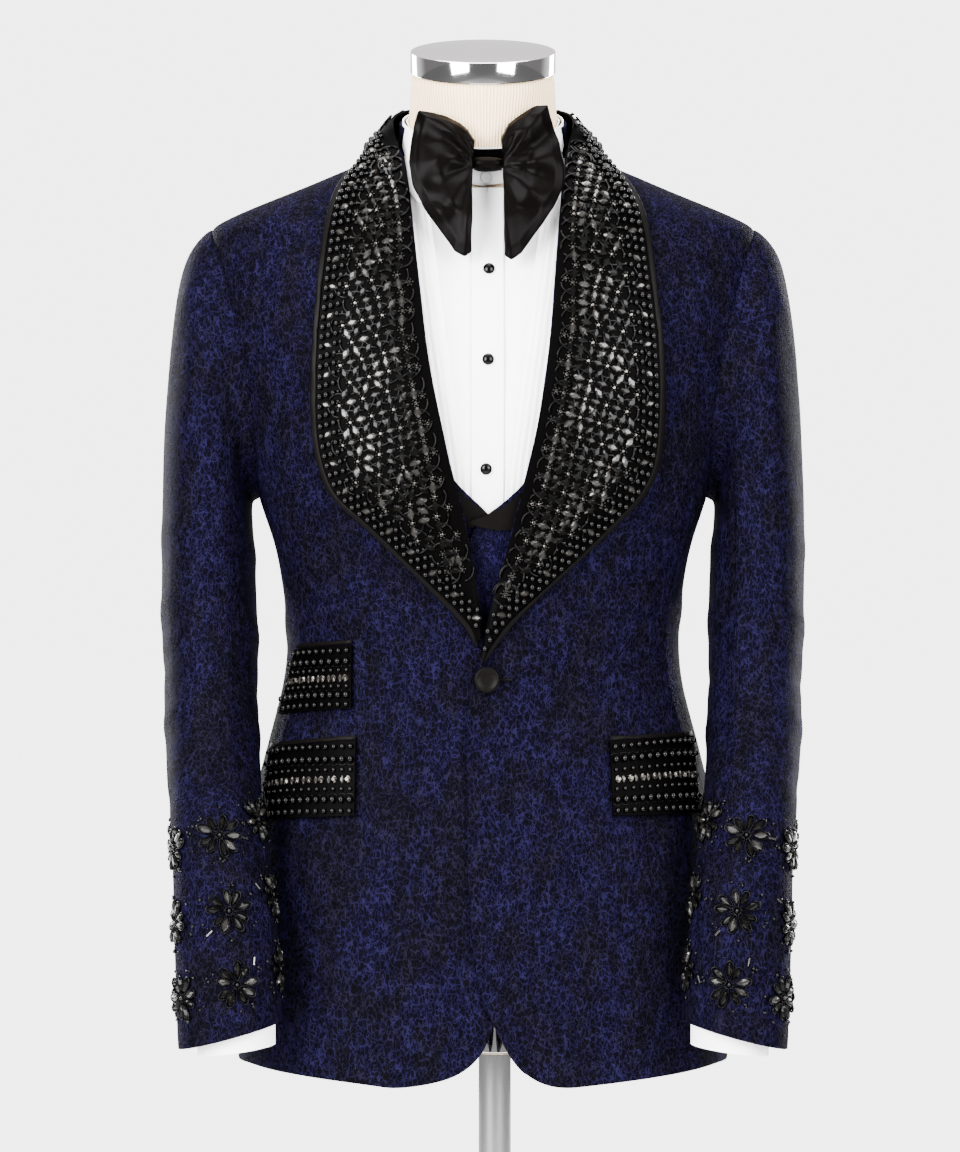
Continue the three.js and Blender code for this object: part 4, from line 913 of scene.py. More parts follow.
class BeadShapes:
    """Small meshes of unit size that the beadwork repeats; +Z points off the cloth."""

    def __init__(self) -> None:
        """Builds each shape once."""
        makers = {
            Shape.PEARL: self._pearl,
            Shape.NAVETTE: self._navette,
            Shape.CRYSTAL: self._crystal,
            Shape.BUGLE: self._bugle,
            Shape.ARC: self._arc,
            Shape.PETAL: self._petal,
            Shape.LEAF: self._leaf,
        }
        self.arrays = {shape: self._arrays(maker()) for shape, maker in makers.items()}

    @staticmethod
    def _arrays(bm: bmesh.types.BMesh) -> tuple[np.ndarray, list[tuple[int, ...]]]:
        """Points and faces of a shape.

        Args:
            bm: The shape, which is freed.

        Returns:
            Its points, and each face as indices of them.
        """
        bmesh.ops.recalc_face_normals(bm, faces=bm.faces)
        bm.verts.ensure_lookup_table()
        points = np.array([vertex.co for vertex in bm.verts], float)
        faces = [tuple(vertex.index for vertex in face.verts) for face in bm.faces]
        bm.free()
        return points, faces

    @staticmethod
    def _raise(bm: bmesh.types.BMesh, faces: list[bmesh.types.BMFace]) -> list[bmesh.types.BMVert]:
        """Extrudes faces and returns the points of the new top."""
        made = bmesh.ops.extrude_face_region(bm, geom=faces)
        return [item for item in made["geom"] if isinstance(item, bmesh.types.BMVert)]

    @staticmethod
    def _within(bm: bmesh.types.BMesh, points: list[bmesh.types.BMVert]) -> list[bmesh.types.BMFace]:
        """Faces whose every point is among the given ones."""
        return [face for face in bm.faces if all(vertex in points for vertex in face.verts)]

    @staticmethod
    def _pearl() -> bmesh.types.BMesh:
        """Round bead of unit width, sunk a little into the cloth."""
        bm = bmesh.new()
        bmesh.ops.create_uvsphere(bm, u_segments=10, v_segments=6, radius=0.5)
        bmesh.ops.translate(bm, vec=(0, 0, 0.36), verts=bm.verts)
        return bm

    @classmethod
    def _navette(cls) -> bmesh.types.BMesh:
        """Pointed oval cut stone, unit long along X, with a table on top."""
        bm = bmesh.new()
        bmesh.ops.create_circle(bm, cap_ends=True, segments=8, radius=0.5)
        for vertex in bm.verts:
            vertex.co.y *= 0.62 * (1 - 0.62 * (2 * abs(vertex.co.x)) ** 2)
        girdle = cls._raise(bm, list(bm.faces))
        bmesh.ops.translate(bm, vec=(0, 0, 0.1), verts=girdle)
        table = cls._raise(bm, cls._within(bm, girdle))
        bmesh.ops.scale(bm, vec=(0.52, 0.5, 1), verts=table)
        bmesh.ops.translate(bm, vec=(0, 0, 0.16), verts=table)
        return bm

    @classmethod
    def _crystal(cls) -> bmesh.types.BMesh:
        """Round cut stone in claws: a faceted dome of unit width."""
        bm = bmesh.new()
        bmesh.ops.create_cone(bm, cap_ends=True, segments=8, radius1=0.5, radius2=0.42, depth=0.2)
        bmesh.ops.translate(bm, vec=(0, 0, 0.1), verts=bm.verts)
        table = cls._raise(bm, [max(bm.faces, key=lambda face: face.calc_center_median().z)])
        bmesh.ops.scale(bm, vec=(0.5, 0.5, 1), verts=table)
        bmesh.ops.rotate(bm, matrix=Matrix.Rotation(math.pi / 8, 3, "Z"), verts=table)
        bmesh.ops.translate(bm, vec=(0, 0, 0.16), verts=table)
        return bm

    @staticmethod
    def _bugle() -> bmesh.types.BMesh:
        """Straight tube bead, unit long along X."""
        bm = bmesh.new()
        bmesh.ops.create_cone(bm, cap_ends=True, segments=6, radius1=0.13, radius2=0.13, depth=1)
        bmesh.ops.rotate(bm, matrix=Matrix.Rotation(math.pi / 2, 3, "Y"), verts=bm.verts)
        bmesh.ops.translate(bm, vec=(0, 0, 0.12), verts=bm.verts)
        return bm

    @staticmethod
    def _arc() -> bmesh.types.BMesh:
        """Third of a ring of fine beads, of unit radius, centred on +X."""
        bm = bmesh.new()
        start = bmesh.ops.create_circle(bm, segments=5, radius=0.1)["verts"]
        bmesh.ops.rotate(bm, matrix=Matrix.Rotation(math.pi / 2, 3, "X"), verts=start)
        bmesh.ops.translate(bm, vec=(1, 0, 0.08), verts=start)
        bmesh.ops.rotate(bm, matrix=Matrix.Rotation(-0.82, 3, "Z"), verts=start)
        bmesh.ops.spin(bm, geom=bm.edges[:], axis=(0, 0, 1), cent=(0, 0, 0), angle=1.64, steps=6)
        bmesh.ops.holes_fill(bm, edges=[edge for edge in bm.edges if edge.is_boundary])
        return bm

    @staticmethod
    def _leaf() -> bmesh.types.BMesh:
        """Leaf-shaped loop of fine beads, unit long along +X from its root."""
        bm = bmesh.new()
        start = bmesh.ops.create_circle(bm, segments=5, radius=0.05)["verts"]
        bmesh.ops.rotate(bm, matrix=Matrix.Rotation(math.pi / 2, 3, "X"), verts=start)
        bmesh.ops.translate(bm, vec=(0.5, 0, 0.05), verts=start)
        bmesh.ops.spin(
            bm, geom=bm.edges[:], axis=(0, 0, 1), cent=(0, 0, 0), angle=math.tau, steps=12, use_merge=True
        )
        bmesh.ops.remove_doubles(bm, verts=bm.verts, dist=1e-5)
        for vertex in bm.verts:
            share = vertex.co.x + 0.5
            vertex.co.y *= 0.42 * (0.55 + 0.75 * share)
            vertex.co.x = share
            vertex.co.z *= 1.3
        return bm

    @classmethod
    def _petal(cls) -> bmesh.types.BMesh:
        """Leaf-shaped stone, unit long along +X from its root."""
        bm = bmesh.new()
        bmesh.ops.create_circle(bm, cap_ends=True, segments=10, radius=0.5)
        for vertex in bm.verts:
            share = vertex.co.x + 0.5
            vertex.co.y *= 0.78 * (0.35 + 0.9 * share) * (1.12 - share**3)
            vertex.co.x = share
        top = cls._raise(bm, list(bm.faces))
        bmesh.ops.translate(bm, vec=(0, 0, 0.1), verts=top)
        for vertex in cls._raise(bm, cls._within(bm, top)):
            vertex.co.y *= 0.3
            vertex.co.x = lerp(0.5, vertex.co.x, 0.7)
            vertex.co.z += 0.12
        return bm


SHAPES = BeadShapes()


@dataclass(frozen=True)
class Seat:
    """Place on the cloth: a point, the way off it, and a way along it."""

    point: Vector
    normal: Vector
    along: Vector

    def matrix(self, turn: float = 0.0) -> np.ndarray:
        """Axes of a bead that sits here.

        Args:
            turn: The bead's turn about the way off the cloth.

        Returns:
            The axes as the columns of a matrix.
        """
        flat = (self.along - self.normal * self.along.dot(self.normal)).normalized()
        side = self.normal.cross(flat)
        ahead = flat * math.cos(turn) + side * math.sin(turn)
        return np.array([ahead, self.normal.cross(ahead), self.normal]).T


@dataclass
class BeadField:
    """Beads of one finish that are sewn on together as one piece."""

    name: str
    finish: Finish
    smooth: bool = True
    points: list[np.ndarray] = field(default_factory=list)
    faces: list[tuple[int, ...]] = field(default_factory=list)
    count: int = 0

    def add(
        self, shape: Shape, seat: Seat, size: float, turn: float = 0.0,
        stretch: tuple[float, float, float] = (1, 1, 1),
    ) -> None:
        """Sews one bead on.

        Args:
            shape: Kind of bead.
            seat: Where it sits.
            size: Its length in metres.
            turn: Turn about the way off the cloth.
            stretch: Scale along, across and off the cloth.
        """
        points, faces = SHAPES.arrays[shape]
        placed = (points * np.array(stretch) * size) @ seat.matrix(turn).T + np.array(seat.point)
        self.points.append(placed)
        self.faces.extend(tuple(index + self.count for index in face) for face in faces)
        self.count += len(points)

    def build(self) -> bpy.types.Object | None:
        """Joins the beads into one piece.

        Returns:
            The piece, or None where there are no beads.
        """
        if not self.points:
            return None
        mesh = bpy.data.meshes.new(self.name)
        mesh.from_pydata(np.concatenate(self.points).tolist(), [], self.faces)
        piece = link(self.name, mesh, self.finish)
        if not self.smooth:
            mesh.polygons.foreach_set("use_smooth", [False] * len(mesh.polygons))
        return settle(piece)


def rim_of(node: str) -> list[Vector]:
    """Points round the rim of a panel's outer face, in order.

    Args:
        node: The panel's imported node.

    Returns:
        The points, the first not repeated at the end.
    """
    bm = outer_face(node)
    edge = next(edge for edge in bm.edges if edge.is_boundary)
    first = vertex = edge.verts[0]
    points = []
    while not points or vertex is not first:
        points.append(vertex.co.copy())
        vertex = edge.other_vert(vertex)
        edge = next(other for other in vertex.link_edges if other.is_boundary and other is not edge)
    bm.free()
    return points


def stretch_of(loop: list[Vector], start: int, end: int) -> list[Vector]:
    """Points of a closed loop from start on to end."""
    return [loop[(start + step) % len(loop)] for step in range((end - start) % len(loop) + 1)]


def spaced(line: list[Vector], count: int) -> np.ndarray:
    """Evenly spaced points along a line.

    Args:
        line: Points of the line.
        count: How many points to lay on it.

    Returns:
        The new points, one to a row.
    """
    points = np.array([list(point) for point in line])
    run = np.concatenate([[0], np.cumsum(np.linalg.norm(np.diff(points, axis=0), axis=1))])
    places = np.linspace(0, run[-1], count)
    return np.array([np.interp(places, run, points[:, axis]) for axis in range(3)]).T


@dataclass
class PanelGrid:
    """Rows and columns over a panel's finished face, to place beads along and across it."""

    points: np.ndarray
    surface: BVHTree

    ROWS, COLUMNS = 81, 11
    WIDTH_STEPS, SEAT_STEPS = 9, 17
    CHEST = (0.8, 0.9)
    NECK_MIDDLE = 0.003

    @classmethod
    def between(cls, first: list[Vector], second: list[Vector], surface: BVHTree) -> "PanelGrid":
        """Lays rows from one edge of a panel to the other.

        Args:
            first: Edge that the rows start from.
            second: Edge that they end on.
            surface: Search tree of the finished panel.

        Returns:
            The grid.
        """
        starts, ends = spaced(first, cls.ROWS), spaced(second, cls.ROWS)
        points = np.empty((cls.ROWS, cls.COLUMNS, 3))
        for column in range(cls.COLUMNS):
            line = starts + (ends - starts) * column / (cls.COLUMNS - 1)
            points[:, column] = [list(surface.find_nearest(Vector(point))[0]) for point in line]
        return cls(points, surface)

    @classmethod
    def of_lapel(cls, panel: ClothPanel) -> "PanelGrid":
        """Rows from the roll line to the outer edge, from the lower tip to the middle of the neck's back.

        Args:
            panel: The lapel's finished panel.

        Returns:
            The grid.
        """
        loop = rim_of(panel.node)
        count = len(loop)
        tip = min(range(count), key=lambda index: loop[index].z)
        behind = {
            index for index in range(count) if abs(loop[index].x) < cls.NECK_MIDDLE and loop[index].y > 0
        }
        after = next(step for step in range(count) if (tip + step) % count in behind)
        before = next(step for step in range(count) if (tip - step) % count in behind)
        onward = stretch_of(loop, tip, (tip + after) % count)
        backward = stretch_of(loop, (tip - before) % count, tip)[::-1]
        low, high = cls.CHEST
        edges = [onward, backward]
        edges.sort(key=lambda line: min(abs(point.x) for point in line if low < point.z < high))
        return cls.between(edges[0], edges[1], panel.surface())

    @classmethod
    def of_flap(cls, panel: ClothPanel) -> "PanelGrid":
        """Rows across a pocket flap, from its top edge down.

        Args:
            panel: The flap's finished panel.

        Returns:
            The grid.
        """
        loop = rim_of(panel.node)

        def corner(lean: int, end: int) -> int:
            """Index of the corner that lies furthest up or down and in or out."""
            return max(range(len(loop)), key=lambda index: end * (loop[index].z + lean * abs(loop[index].x)))

        top_in, top_out, low_in, low_out = corner(-1, 1), corner(1, 1), corner(1, -1), corner(-1, -1)
        inner = [stretch_of(loop, top_in, low_in), stretch_of(loop, low_in, top_in)[::-1]]
        outer = [stretch_of(loop, top_out, low_out), stretch_of(loop, low_out, top_out)[::-1]]
        return cls.between(min(inner, key=len), min(outer, key=len), panel.surface())

    def _bilinear(self, row: float, column: float) -> np.ndarray:
        """Point at a fractional row and column."""
        rows, columns = self.points.shape[:2]
        row, column = min(max(row, 0), rows - 1), min(max(column, 0), columns - 1)
        r, c = min(int(row), rows - 2), min(int(column), columns - 2)
        u, v = row - r, column - c
        near = self.points[r, c] * (1 - v) + self.points[r, c + 1] * v
        far = self.points[r + 1, c] * (1 - v) + self.points[r + 1, c + 1] * v
        return near * (1 - u) + far * u

    def lengths(self, column: float) -> np.ndarray:
        """Distance along a column at each row."""
        line = np.array([self._bilinear(row, column) for row in range(len(self.points))])
        return np.concatenate([[0], np.cumsum(np.linalg.norm(np.diff(line, axis=0), axis=1))])

    def row_at(self, distance: float, lengths: np.ndarray) -> float:
        """Fractional row that lies distance along the column those lengths were measured on."""
        return float(np.interp(distance, lengths, np.arange(len(lengths))))

    def width(self, row: float) -> float:
        """Distance across the panel at a row."""
        last = self.points.shape[1] - 1
        line = np.array([self._bilinear(row, column) for column in np.linspace(0, last, self.WIDTH_STEPS)])
        return float(np.linalg.norm(np.diff(line, axis=0), axis=1).sum())

    def touch(self, point: Vector, along: Vector) -> Seat:
        """Seat on the panel nearest to a point."""
        found = self.surface.find_nearest(point)
        return Seat(found[0], found[1], along.normalized())

    def seat(self, row: float, across: float) -> Seat:
        """Seat on the finished panel.

        Args:
            row: Fractional row.
            across: Share of the way across the row, by distance.

        Returns:
            The seat, its along pointing across the panel.
        """
        last = self.points.shape[1] - 1
        spots = np.linspace(0, last, self.SEAT_STEPS)
        line = np.array([self._bilinear(row, column) for column in spots])
        run = np.concatenate([[0], np.cumsum(np.linalg.norm(np.diff(line, axis=0), axis=1))])
        column = float(np.interp(across * run[-1], run, spots))
        here = Vector(self._bilinear(row, column))
        before = Vector(self._bilinear(row, max(column - 0.2, 0)))
        after = Vector(self._bilinear(row, min(column + 0.2, last)))
        return self.touch(here, after - before)


@dataclass
class LapelBeads:
    """Beadwork of one shawl lapel: a lattice of rings and stones inside a border of round beads."""

    word: str
    panel: ClothPanel
    ring: float = 0.0188
    pitch: float = 0.94 * 0.0188
    line_share: float = 0.87
    strip: float = 0.0125
    strip_tip: float = 0.004
    border: float = 0.0205
    margin: float = 0.003
    stone: float = 0.0096
    border_pitch: float = 0.0078
    border_stone: float = 0.0085
    fill_inset: float = 0.0195
    fill_bead: float = 0.0028
    single_pitch: float = 0.0225

    # How far in from the outer edge each bead of a border row sits, and its width
    BORDER_ROW = ((0.0036, 0.0050), (0.0092, 0.0050), (0.0152, 0.0044))
    WIDE_ROW = 0.03
    WIDE_STRIP = 0.009

    def build(self) -> None:
        """Sews the lattice, the border and the single stones by the roll line."""
        grid = PanelGrid.of_lapel(self.panel)
        self.pearls = BeadField(self.word + "_lapel_pearls", PEARL)
        # Lit and shaded copies of the cut stone: painted glint and painted shade.
        self.stones = BeadField(self.word + "_lapel_stones", LIT_STONE, smooth=False)
        self.shaded_stones = BeadField(self.word + "_lapel_dark_stones", PETAL, smooth=False)
        self.sparks = BeadField(self.word + "_lapel_sparks", SPARK, smooth=False)
        self.bugles = BeadField(self.word + "_lapel_bugles", BUGLE)
        self._lattice(grid)
        self._border(grid)
        self._singles(grid)
        for piece in (self.pearls, self.stones, self.shaded_stones, self.sparks, self.bugles):
            piece.build()
        LOG.info("%s lapel beadwork done", self.word)

    def _strip(self, height: float) -> float:
        """Width of the plain strip by the roll line at a height."""
        lower = lerp(self.strip_tip, self.strip, ramp(height, 0.690, 0.77))
        return lower - 0.005 * ramp(height, 0.90, 1.0)

    def _lattice(self, grid: PanelGrid) -> None:
        """Clusters in staggered lines, a ring round each and a pointed stone between each two.

        Args:
            grid: Rows and columns over the lapel.
        """
        lengths = grid.lengths((grid.points.shape[1] - 1) * 0.55)
        apart = self.pitch * self.line_share
        before: list[Seat] = []
        for line in range(1, int(lengths[-1] / apart)):
            row = grid.row_at(line * apart, lengths)
            width = grid.width(row)
            spot = width - self.border - (self.pitch * 0.5 if line % 2 else 0)
            room = spot - self._strip(grid.seat(row, 0.5).point.z) - self.margin
            if room < 0:
                continue
            count = max(1, round(room / self.pitch))
            step = min(room / count, 1.15 * self.pitch)
            seats = [grid.seat(row, (spot - place * step) / width) for place in range(count + 1)]
            for number, seat in enumerate(seats):
                for third in range(3):
                    turn = third * math.tau / 3 + 0.3 * (line % 3)
                    self.bugles.add(Shape.ARC, seat, self.ring * 0.5, turn)
                self._cluster(seat)
                mark = line * 7 + number * 5 + len(before)
                self._stones_to(grid, seat, before + seats[number + 1 : number + 2], mark)
            before = seats

    def _stones_to(self, grid: PanelGrid, seat: Seat, others: list[Seat], mark: int) -> None:
        """Pointed stones between a cluster and its neighbours, now and then one in the lit copy of the stone,
        a painted glint, the rest in the shaded copy, painted shade.

        Args:
            grid: Rows and columns over the lapel.
            seat: The cluster's seat.
            others: Seats that may be its neighbours.
            mark: Number that picks the ones with the painted glint.
        """
        # Painted light: every third stone takes the lit copy, the rest the shaded copy.
        field_of = self.stones if mark % 3 == 0 else self.shaded_stones
        for other in others:
            way = other.point - seat.point
            if 0.45 * self.pitch < way.length < 1.4 * self.pitch:
                middle = grid.touch(seat.point + way / 2, way)
                field_of.add(Shape.NAVETTE, middle, self.stone, 0.0, (1, 1.05, 1))

    def _border(self, grid: PanelGrid) -> None:
        """Short cross rows of round beads along the outer edge, a pointed stone in each third row.

        Args:
            grid: Rows and columns over the lapel.
        """
        lengths = grid.lengths(grid.points.shape[1] - 1)
        for line in range(1, int(lengths[-1] / self.border_pitch)):
            row = grid.row_at(line * self.border_pitch, lengths)
            width = grid.width(row)
            for place, (inset, size) in enumerate(self.BORDER_ROW):
                if inset > width - self.margin:
                    continue
                seat = grid.seat(row, 1 - inset / width)
                # The border's stones all take the lit copy of the stone, a painted glint.
                if place == 1 and line % 3 == 0:
                    turn = 0.5 * math.sin(line)
                    self.stones.add(Shape.NAVETTE, seat, self.border_stone, turn, (1, 1, 1.1))
                else:
                    self.pearls.add(Shape.PEARL, seat, size)
            if width > self.WIDE_ROW:
                seat = grid.seat(row, 1 - self.fill_inset / width)
                self.pearls.add(Shape.PEARL, seat, self.fill_bead)

    def _singles(self, grid: PanelGrid) -> None:
        """Single clusters in the plain strip by the roll line.

        Args:
            grid: Rows and columns over the lapel.
        """
        lengths = grid.lengths(0)
        for line in range(4, int(lengths[-1] / self.single_pitch)):
            row = grid.row_at(line * self.single_pitch, lengths)
            strip = self._strip(grid.seat(row, 0.1).point.z)
            if strip >= self.WIDE_STRIP:
                self._cluster(grid.seat(row, (strip - self.margin) / grid.width(row)))

    def _cluster(self, seat: Seat) -> None:
        """Cut stone inside a ring of tiny beads."""
        self.sparks.add(Shape.CRYSTAL, seat, 0.0036)
        side = seat.normal.cross(seat.along)
        for place in range(6):
            angle = place * math.tau / 6
            off = (seat.along * math.cos(angle) + side * math.sin(angle)) * 0.0027
            self.pearls.add(Shape.PEARL, Seat(seat.point + off, seat.normal, seat.along), 0.0018)


class RowKind(Enum):
    """Kinds of bead row on a pocket flap."""

    PEARLS = "pearls"
    LOOPED = "looped"
    STONES = "stones"


@dataclass
class FlapBeads:
    """Beadwork of one pocket flap: rows of round beads and a middle row of cut stones."""

    panel: ClothPanel
    pitch: float = 0.0067
    margin: float = 0.004
    middle_stone: float = 0.0062

    # How far down the flap each row lies, the width of its beads and its kind
    ROWS = (
        (0.08, 0.0046, RowKind.PEARLS),
        (0.25, 0.0056, RowKind.LOOPED),
        (0.39, 0.0036, RowKind.PEARLS),
        (0.52, 0.0070, RowKind.STONES),
        (0.65, 0.0036, RowKind.PEARLS),
        (0.79, 0.0056, RowKind.LOOPED),
        (0.94, 0.0044, RowKind.PEARLS),
    )

    def build(self) -> None:
        """Sews the rows from the top edge down."""
        grid = PanelGrid.of_flap(self.panel)
        name = self.panel.node
        pearls = BeadField(name + "_pearls", PEARL)
        sparks = BeadField(name + "_sparks", SPARK, smooth=False)
        bugles = BeadField(name + "_bugles", BUGLE)
        # The middle row's stones take the lit copy of the cut stone, a painted glint.
        stones = BeadField(name + "_stones", LIT_STONE, smooth=False)
        lengths = grid.lengths(0)
        for share, size, kind in self.ROWS:
            row = grid.row_at(share * lengths[-1], lengths)
            step = self.pitch * (1.5 if kind is RowKind.STONES else 1)
            count = int((grid.width(row) - self.margin) / step)
            for place in range(count):
                seat = grid.seat(row, (place + 0.5) / count)
                if kind is RowKind.STONES:
                    sparks.add(Shape.CRYSTAL, seat, size)
                    between = grid.seat(row, (place + 1) / count - 0.01)
                    stones.add(Shape.NAVETTE, between, self.middle_stone, math.pi / 2)
                    continue
                pearls.add(Shape.PEARL, seat, size)
                if kind is RowKind.LOOPED:
                    turn = math.pi / 2 if share < 0.5 else -math.pi / 2
                    bugles.add(Shape.ARC, seat, size * 0.85, turn)
        for piece in (pearls, sparks, bugles, stones):
            piece.build()


@dataclass
class SleeveBeads:
    """Flowers of stones in rings round one lower sleeve, with loose beads about them."""

    word: str
    side: int
    panels: tuple[ClothPanel, ...]
    columns: int = 6
    rows: tuple[tuple[float, float], ...] = ((0.514, -0.05), (0.4555, -0.13), (0.398, -0.2))
    petals: int = 9
    petal_length: float = 0.0152
    loose_beads: int = 14
    loose_radius: float = 0.0188

    def build(self) -> None:
        """Sews each flower on the nearest cloth."""
        self.trees = [panel.surface() for panel in self.panels]
        self.pearls = BeadField(self.word + "_sleeve_pearls", PEARL)
        # Lit and shaded copies of the cut stone for the petals: painted glint and painted shade.
        self.stones = BeadField(self.word + "_sleeve_petals", LIT_STONE, smooth=False)
        self.bugles = BeadField(self.word + "_sleeve_bugles", BUGLE)
        self.silver = BeadField(self.word + "_sleeve_silver", SILVER, smooth=False)
        self.shaded_petals = BeadField(self.word + "_sleeve_leaves", PETAL, smooth=False)
        for line, (height, phase) in enumerate(self.rows):
            for column in range(self.columns):
                turn = -math.pi / 2 + (column + phase) * math.tau / self.columns
                self._flower(turn, height - 0.0125 * math.cos(turn), line * self.columns + column)
        for piece in (self.pearls, self.stones, self.shaded_petals, self.bugles, self.silver):
            piece.build()
        LOG.info("%s sleeve beadwork done", self.word)

    def _axis(self, height: float) -> Vector:
        """Middle of the sleeve at a height."""
        share = (height - 0.370) / (0.506 - 0.370)
        return Vector((self.side * lerp(0.199, 0.207, share), lerp(-0.120, -0.0975, share), height))

    def _touch(self, point: Vector, inward: Vector) -> Seat | None:
        """Seat on the sleeve that a straight line from outside meets.

        Args:
            point: Place on the line.
            inward: Its direction.

        Returns:
            The seat, or None where the line meets no cloth.
        """
        best = None
        for tree in self.trees:
            hit = tree.ray_cast(point - inward * 0.08, inward, 0.16)
            if hit[0] is not None and (best is None or hit[3] < best[3]):
                best = hit
        if best is None:
            return None
        normal = best[1] if best[1].dot(inward) < 0 else -best[1]
        return Seat(best[0], normal, Vector((0, 0, 1)))

    def _flower(self, turn: float, height: float, number: int) -> None:
        """One flower: petals about a middle bead, then loose beads and a few tubes.

        Args:
            turn: Its angle round the sleeve.
            height: Height of its middle.
            number: Its number, which its unevenness follows.
        """
        axis = self._axis(height)
        out = Vector((self.side * math.cos(turn), math.sin(turn), 0))
        middle = self._touch(axis, -out)
        if middle is None or middle.normal.dot(out) < 0.35:
            return
        across = Vector((0, 0, 1)).cross(middle.normal).normalized()
        up = middle.normal.cross(across)

        def seat_at(radius: float, angle: float) -> Seat | None:
            """Seat at a radius and angle from the middle, along pointing outwards from it."""
            way = across * math.cos(angle) + up * math.sin(angle)
            found = self._touch(middle.point + way * radius, -middle.normal)
            if found is None or found.normal.dot(middle.normal) < 0.2:
                return None
            return Seat(found.point, found.normal, way)

        self.pearls.add(Shape.PEARL, middle, 0.0036)
        for petal in range(self.petals):
            angle = petal * math.tau / self.petals + 0.35 * math.sin(number * 2.3)
            angle += 0.08 * math.sin(petal * 2.9 + number)
            length = self.petal_length * (1 + 0.09 * math.sin(petal * 1.9 + number * 1.3))
            root = seat_at(0.0026, angle)
            if root is None:
                continue
            self.bugles.add(Shape.LEAF, root, length)
            raised = root.point + root.along * length * 0.2 + root.normal * 0.0002
            inner = Seat(raised, root.normal, root.along)
            # Painted light: every fourth petal takes the lit copy of the stone, the others the shaded copy.
            lit = (petal * 5 + number * 3) % 4 == 0
            (self.stones if lit else self.shaded_petals).add(Shape.PETAL, inner, length * 0.72, 0.0, (1, 0.78, 1.2))
        for place in range(self.loose_beads):
            angle = place * math.tau / self.loose_beads + 0.5 * math.sin(place * 5.1 + number * 1.7)
            radius = self.loose_radius + 0.0042 * abs(math.sin(place * 3.7 + number * 2.9))
            seat = seat_at(radius, angle)
            if seat is None:
                continue
            if (place * 5 + number * 3) % 17 == 0:
                self.silver.add(Shape.BUGLE, seat, 0.0062, 0.7 * math.sin(place + number))
            else:
                self.pearls.add(Shape.PEARL, seat, 0.0021 + 0.0006 * math.sin(place * 1.3))


# Bow tie


@dataclass(frozen=True)
class Fold:
    """Soft fold of a bow wing along a line of its face.

    Its ends are x out from the knot and z up from it, in millimetres.
    """

    start: tuple[float, float]
    end: tuple[float, float]
    height: float
    width: float
    bow: float = 0.0

    def push(self, out: float, up: float) -> float:
        """Height of the fold at a place, in metres."""
        start, end = Vector(self.start), Vector(self.end)
        line = end - start
        here = Vector((out, up)) - start
        share = here.dot(line) / line.length_squared
        off = line.normalized().cross(here) - self.bow * math.sin(math.pi * min(max(share, 0), 1))
        fade = ramp(share, -0.2, 0.25) * ramp(share, 1.2, 0.75)
        width = self.width * lerp(0.55, 1.25, min(max(share, 0), 1))
        return self.height * MM * math.exp(-((off / width) ** 2)) * fade


WING_FOLDS = {
    "right": (
        Fold((3, 3), (46, 46), 2.6, 6.5, 5),
        Fold((4, 1), (46, 24), -2.6, 8, 5),
        Fold((6, -2), (38, 2), 1.5, 6, 3),
        Fold((3, -2), (40, -16), -2.2, 7, -3),
        Fold((4, -8), (34, -44), 2.2, 8, -4),
        Fold((0, -8), (8, -62), 1.3, 3.5, 1),
        Fold((0, 4), (14, 26), -1.6, 3.5, 2),
        Fold((14, -40), (44, -28), -1.5, 5, 2),
        Fold((49, 40), (50, -20), 1.6, 4, 3),
        Fold((43, 30), (44, -16), -1.3, 4, 3),
        Fold((10, 10), (26, -14), 1.2, 5, 3),
    ),
    "left": (
        Fold((3, 3), (36, 50), 2.4, 7, -5),
        Fold((4, 2), (44, 30), -2.4, 7, -5),
        Fold((6, 0), (46, 10), 1.9, 6, -3),
        Fold((3, -3), (42, -14), -2.2, 7, 3),
        Fold((4, -6), (36, -42), 1.8, 8, 4),
        Fold((0, -8), (6, -66), 1.2, 3.5, -1),
        Fold((0, 4), (12, 24), -1.7, 3.5, -2),
        Fold((12, -36), (40, -34), -1.5, 5, -2),
        Fold((47, 38), (53, -18), 1.5, 4, -3),
        Fold((22, 8), (28, -22), -1.3, 5, -4),
        Fold((12, 14), (22, 34), 1.3, 4, -2),
    ),
}


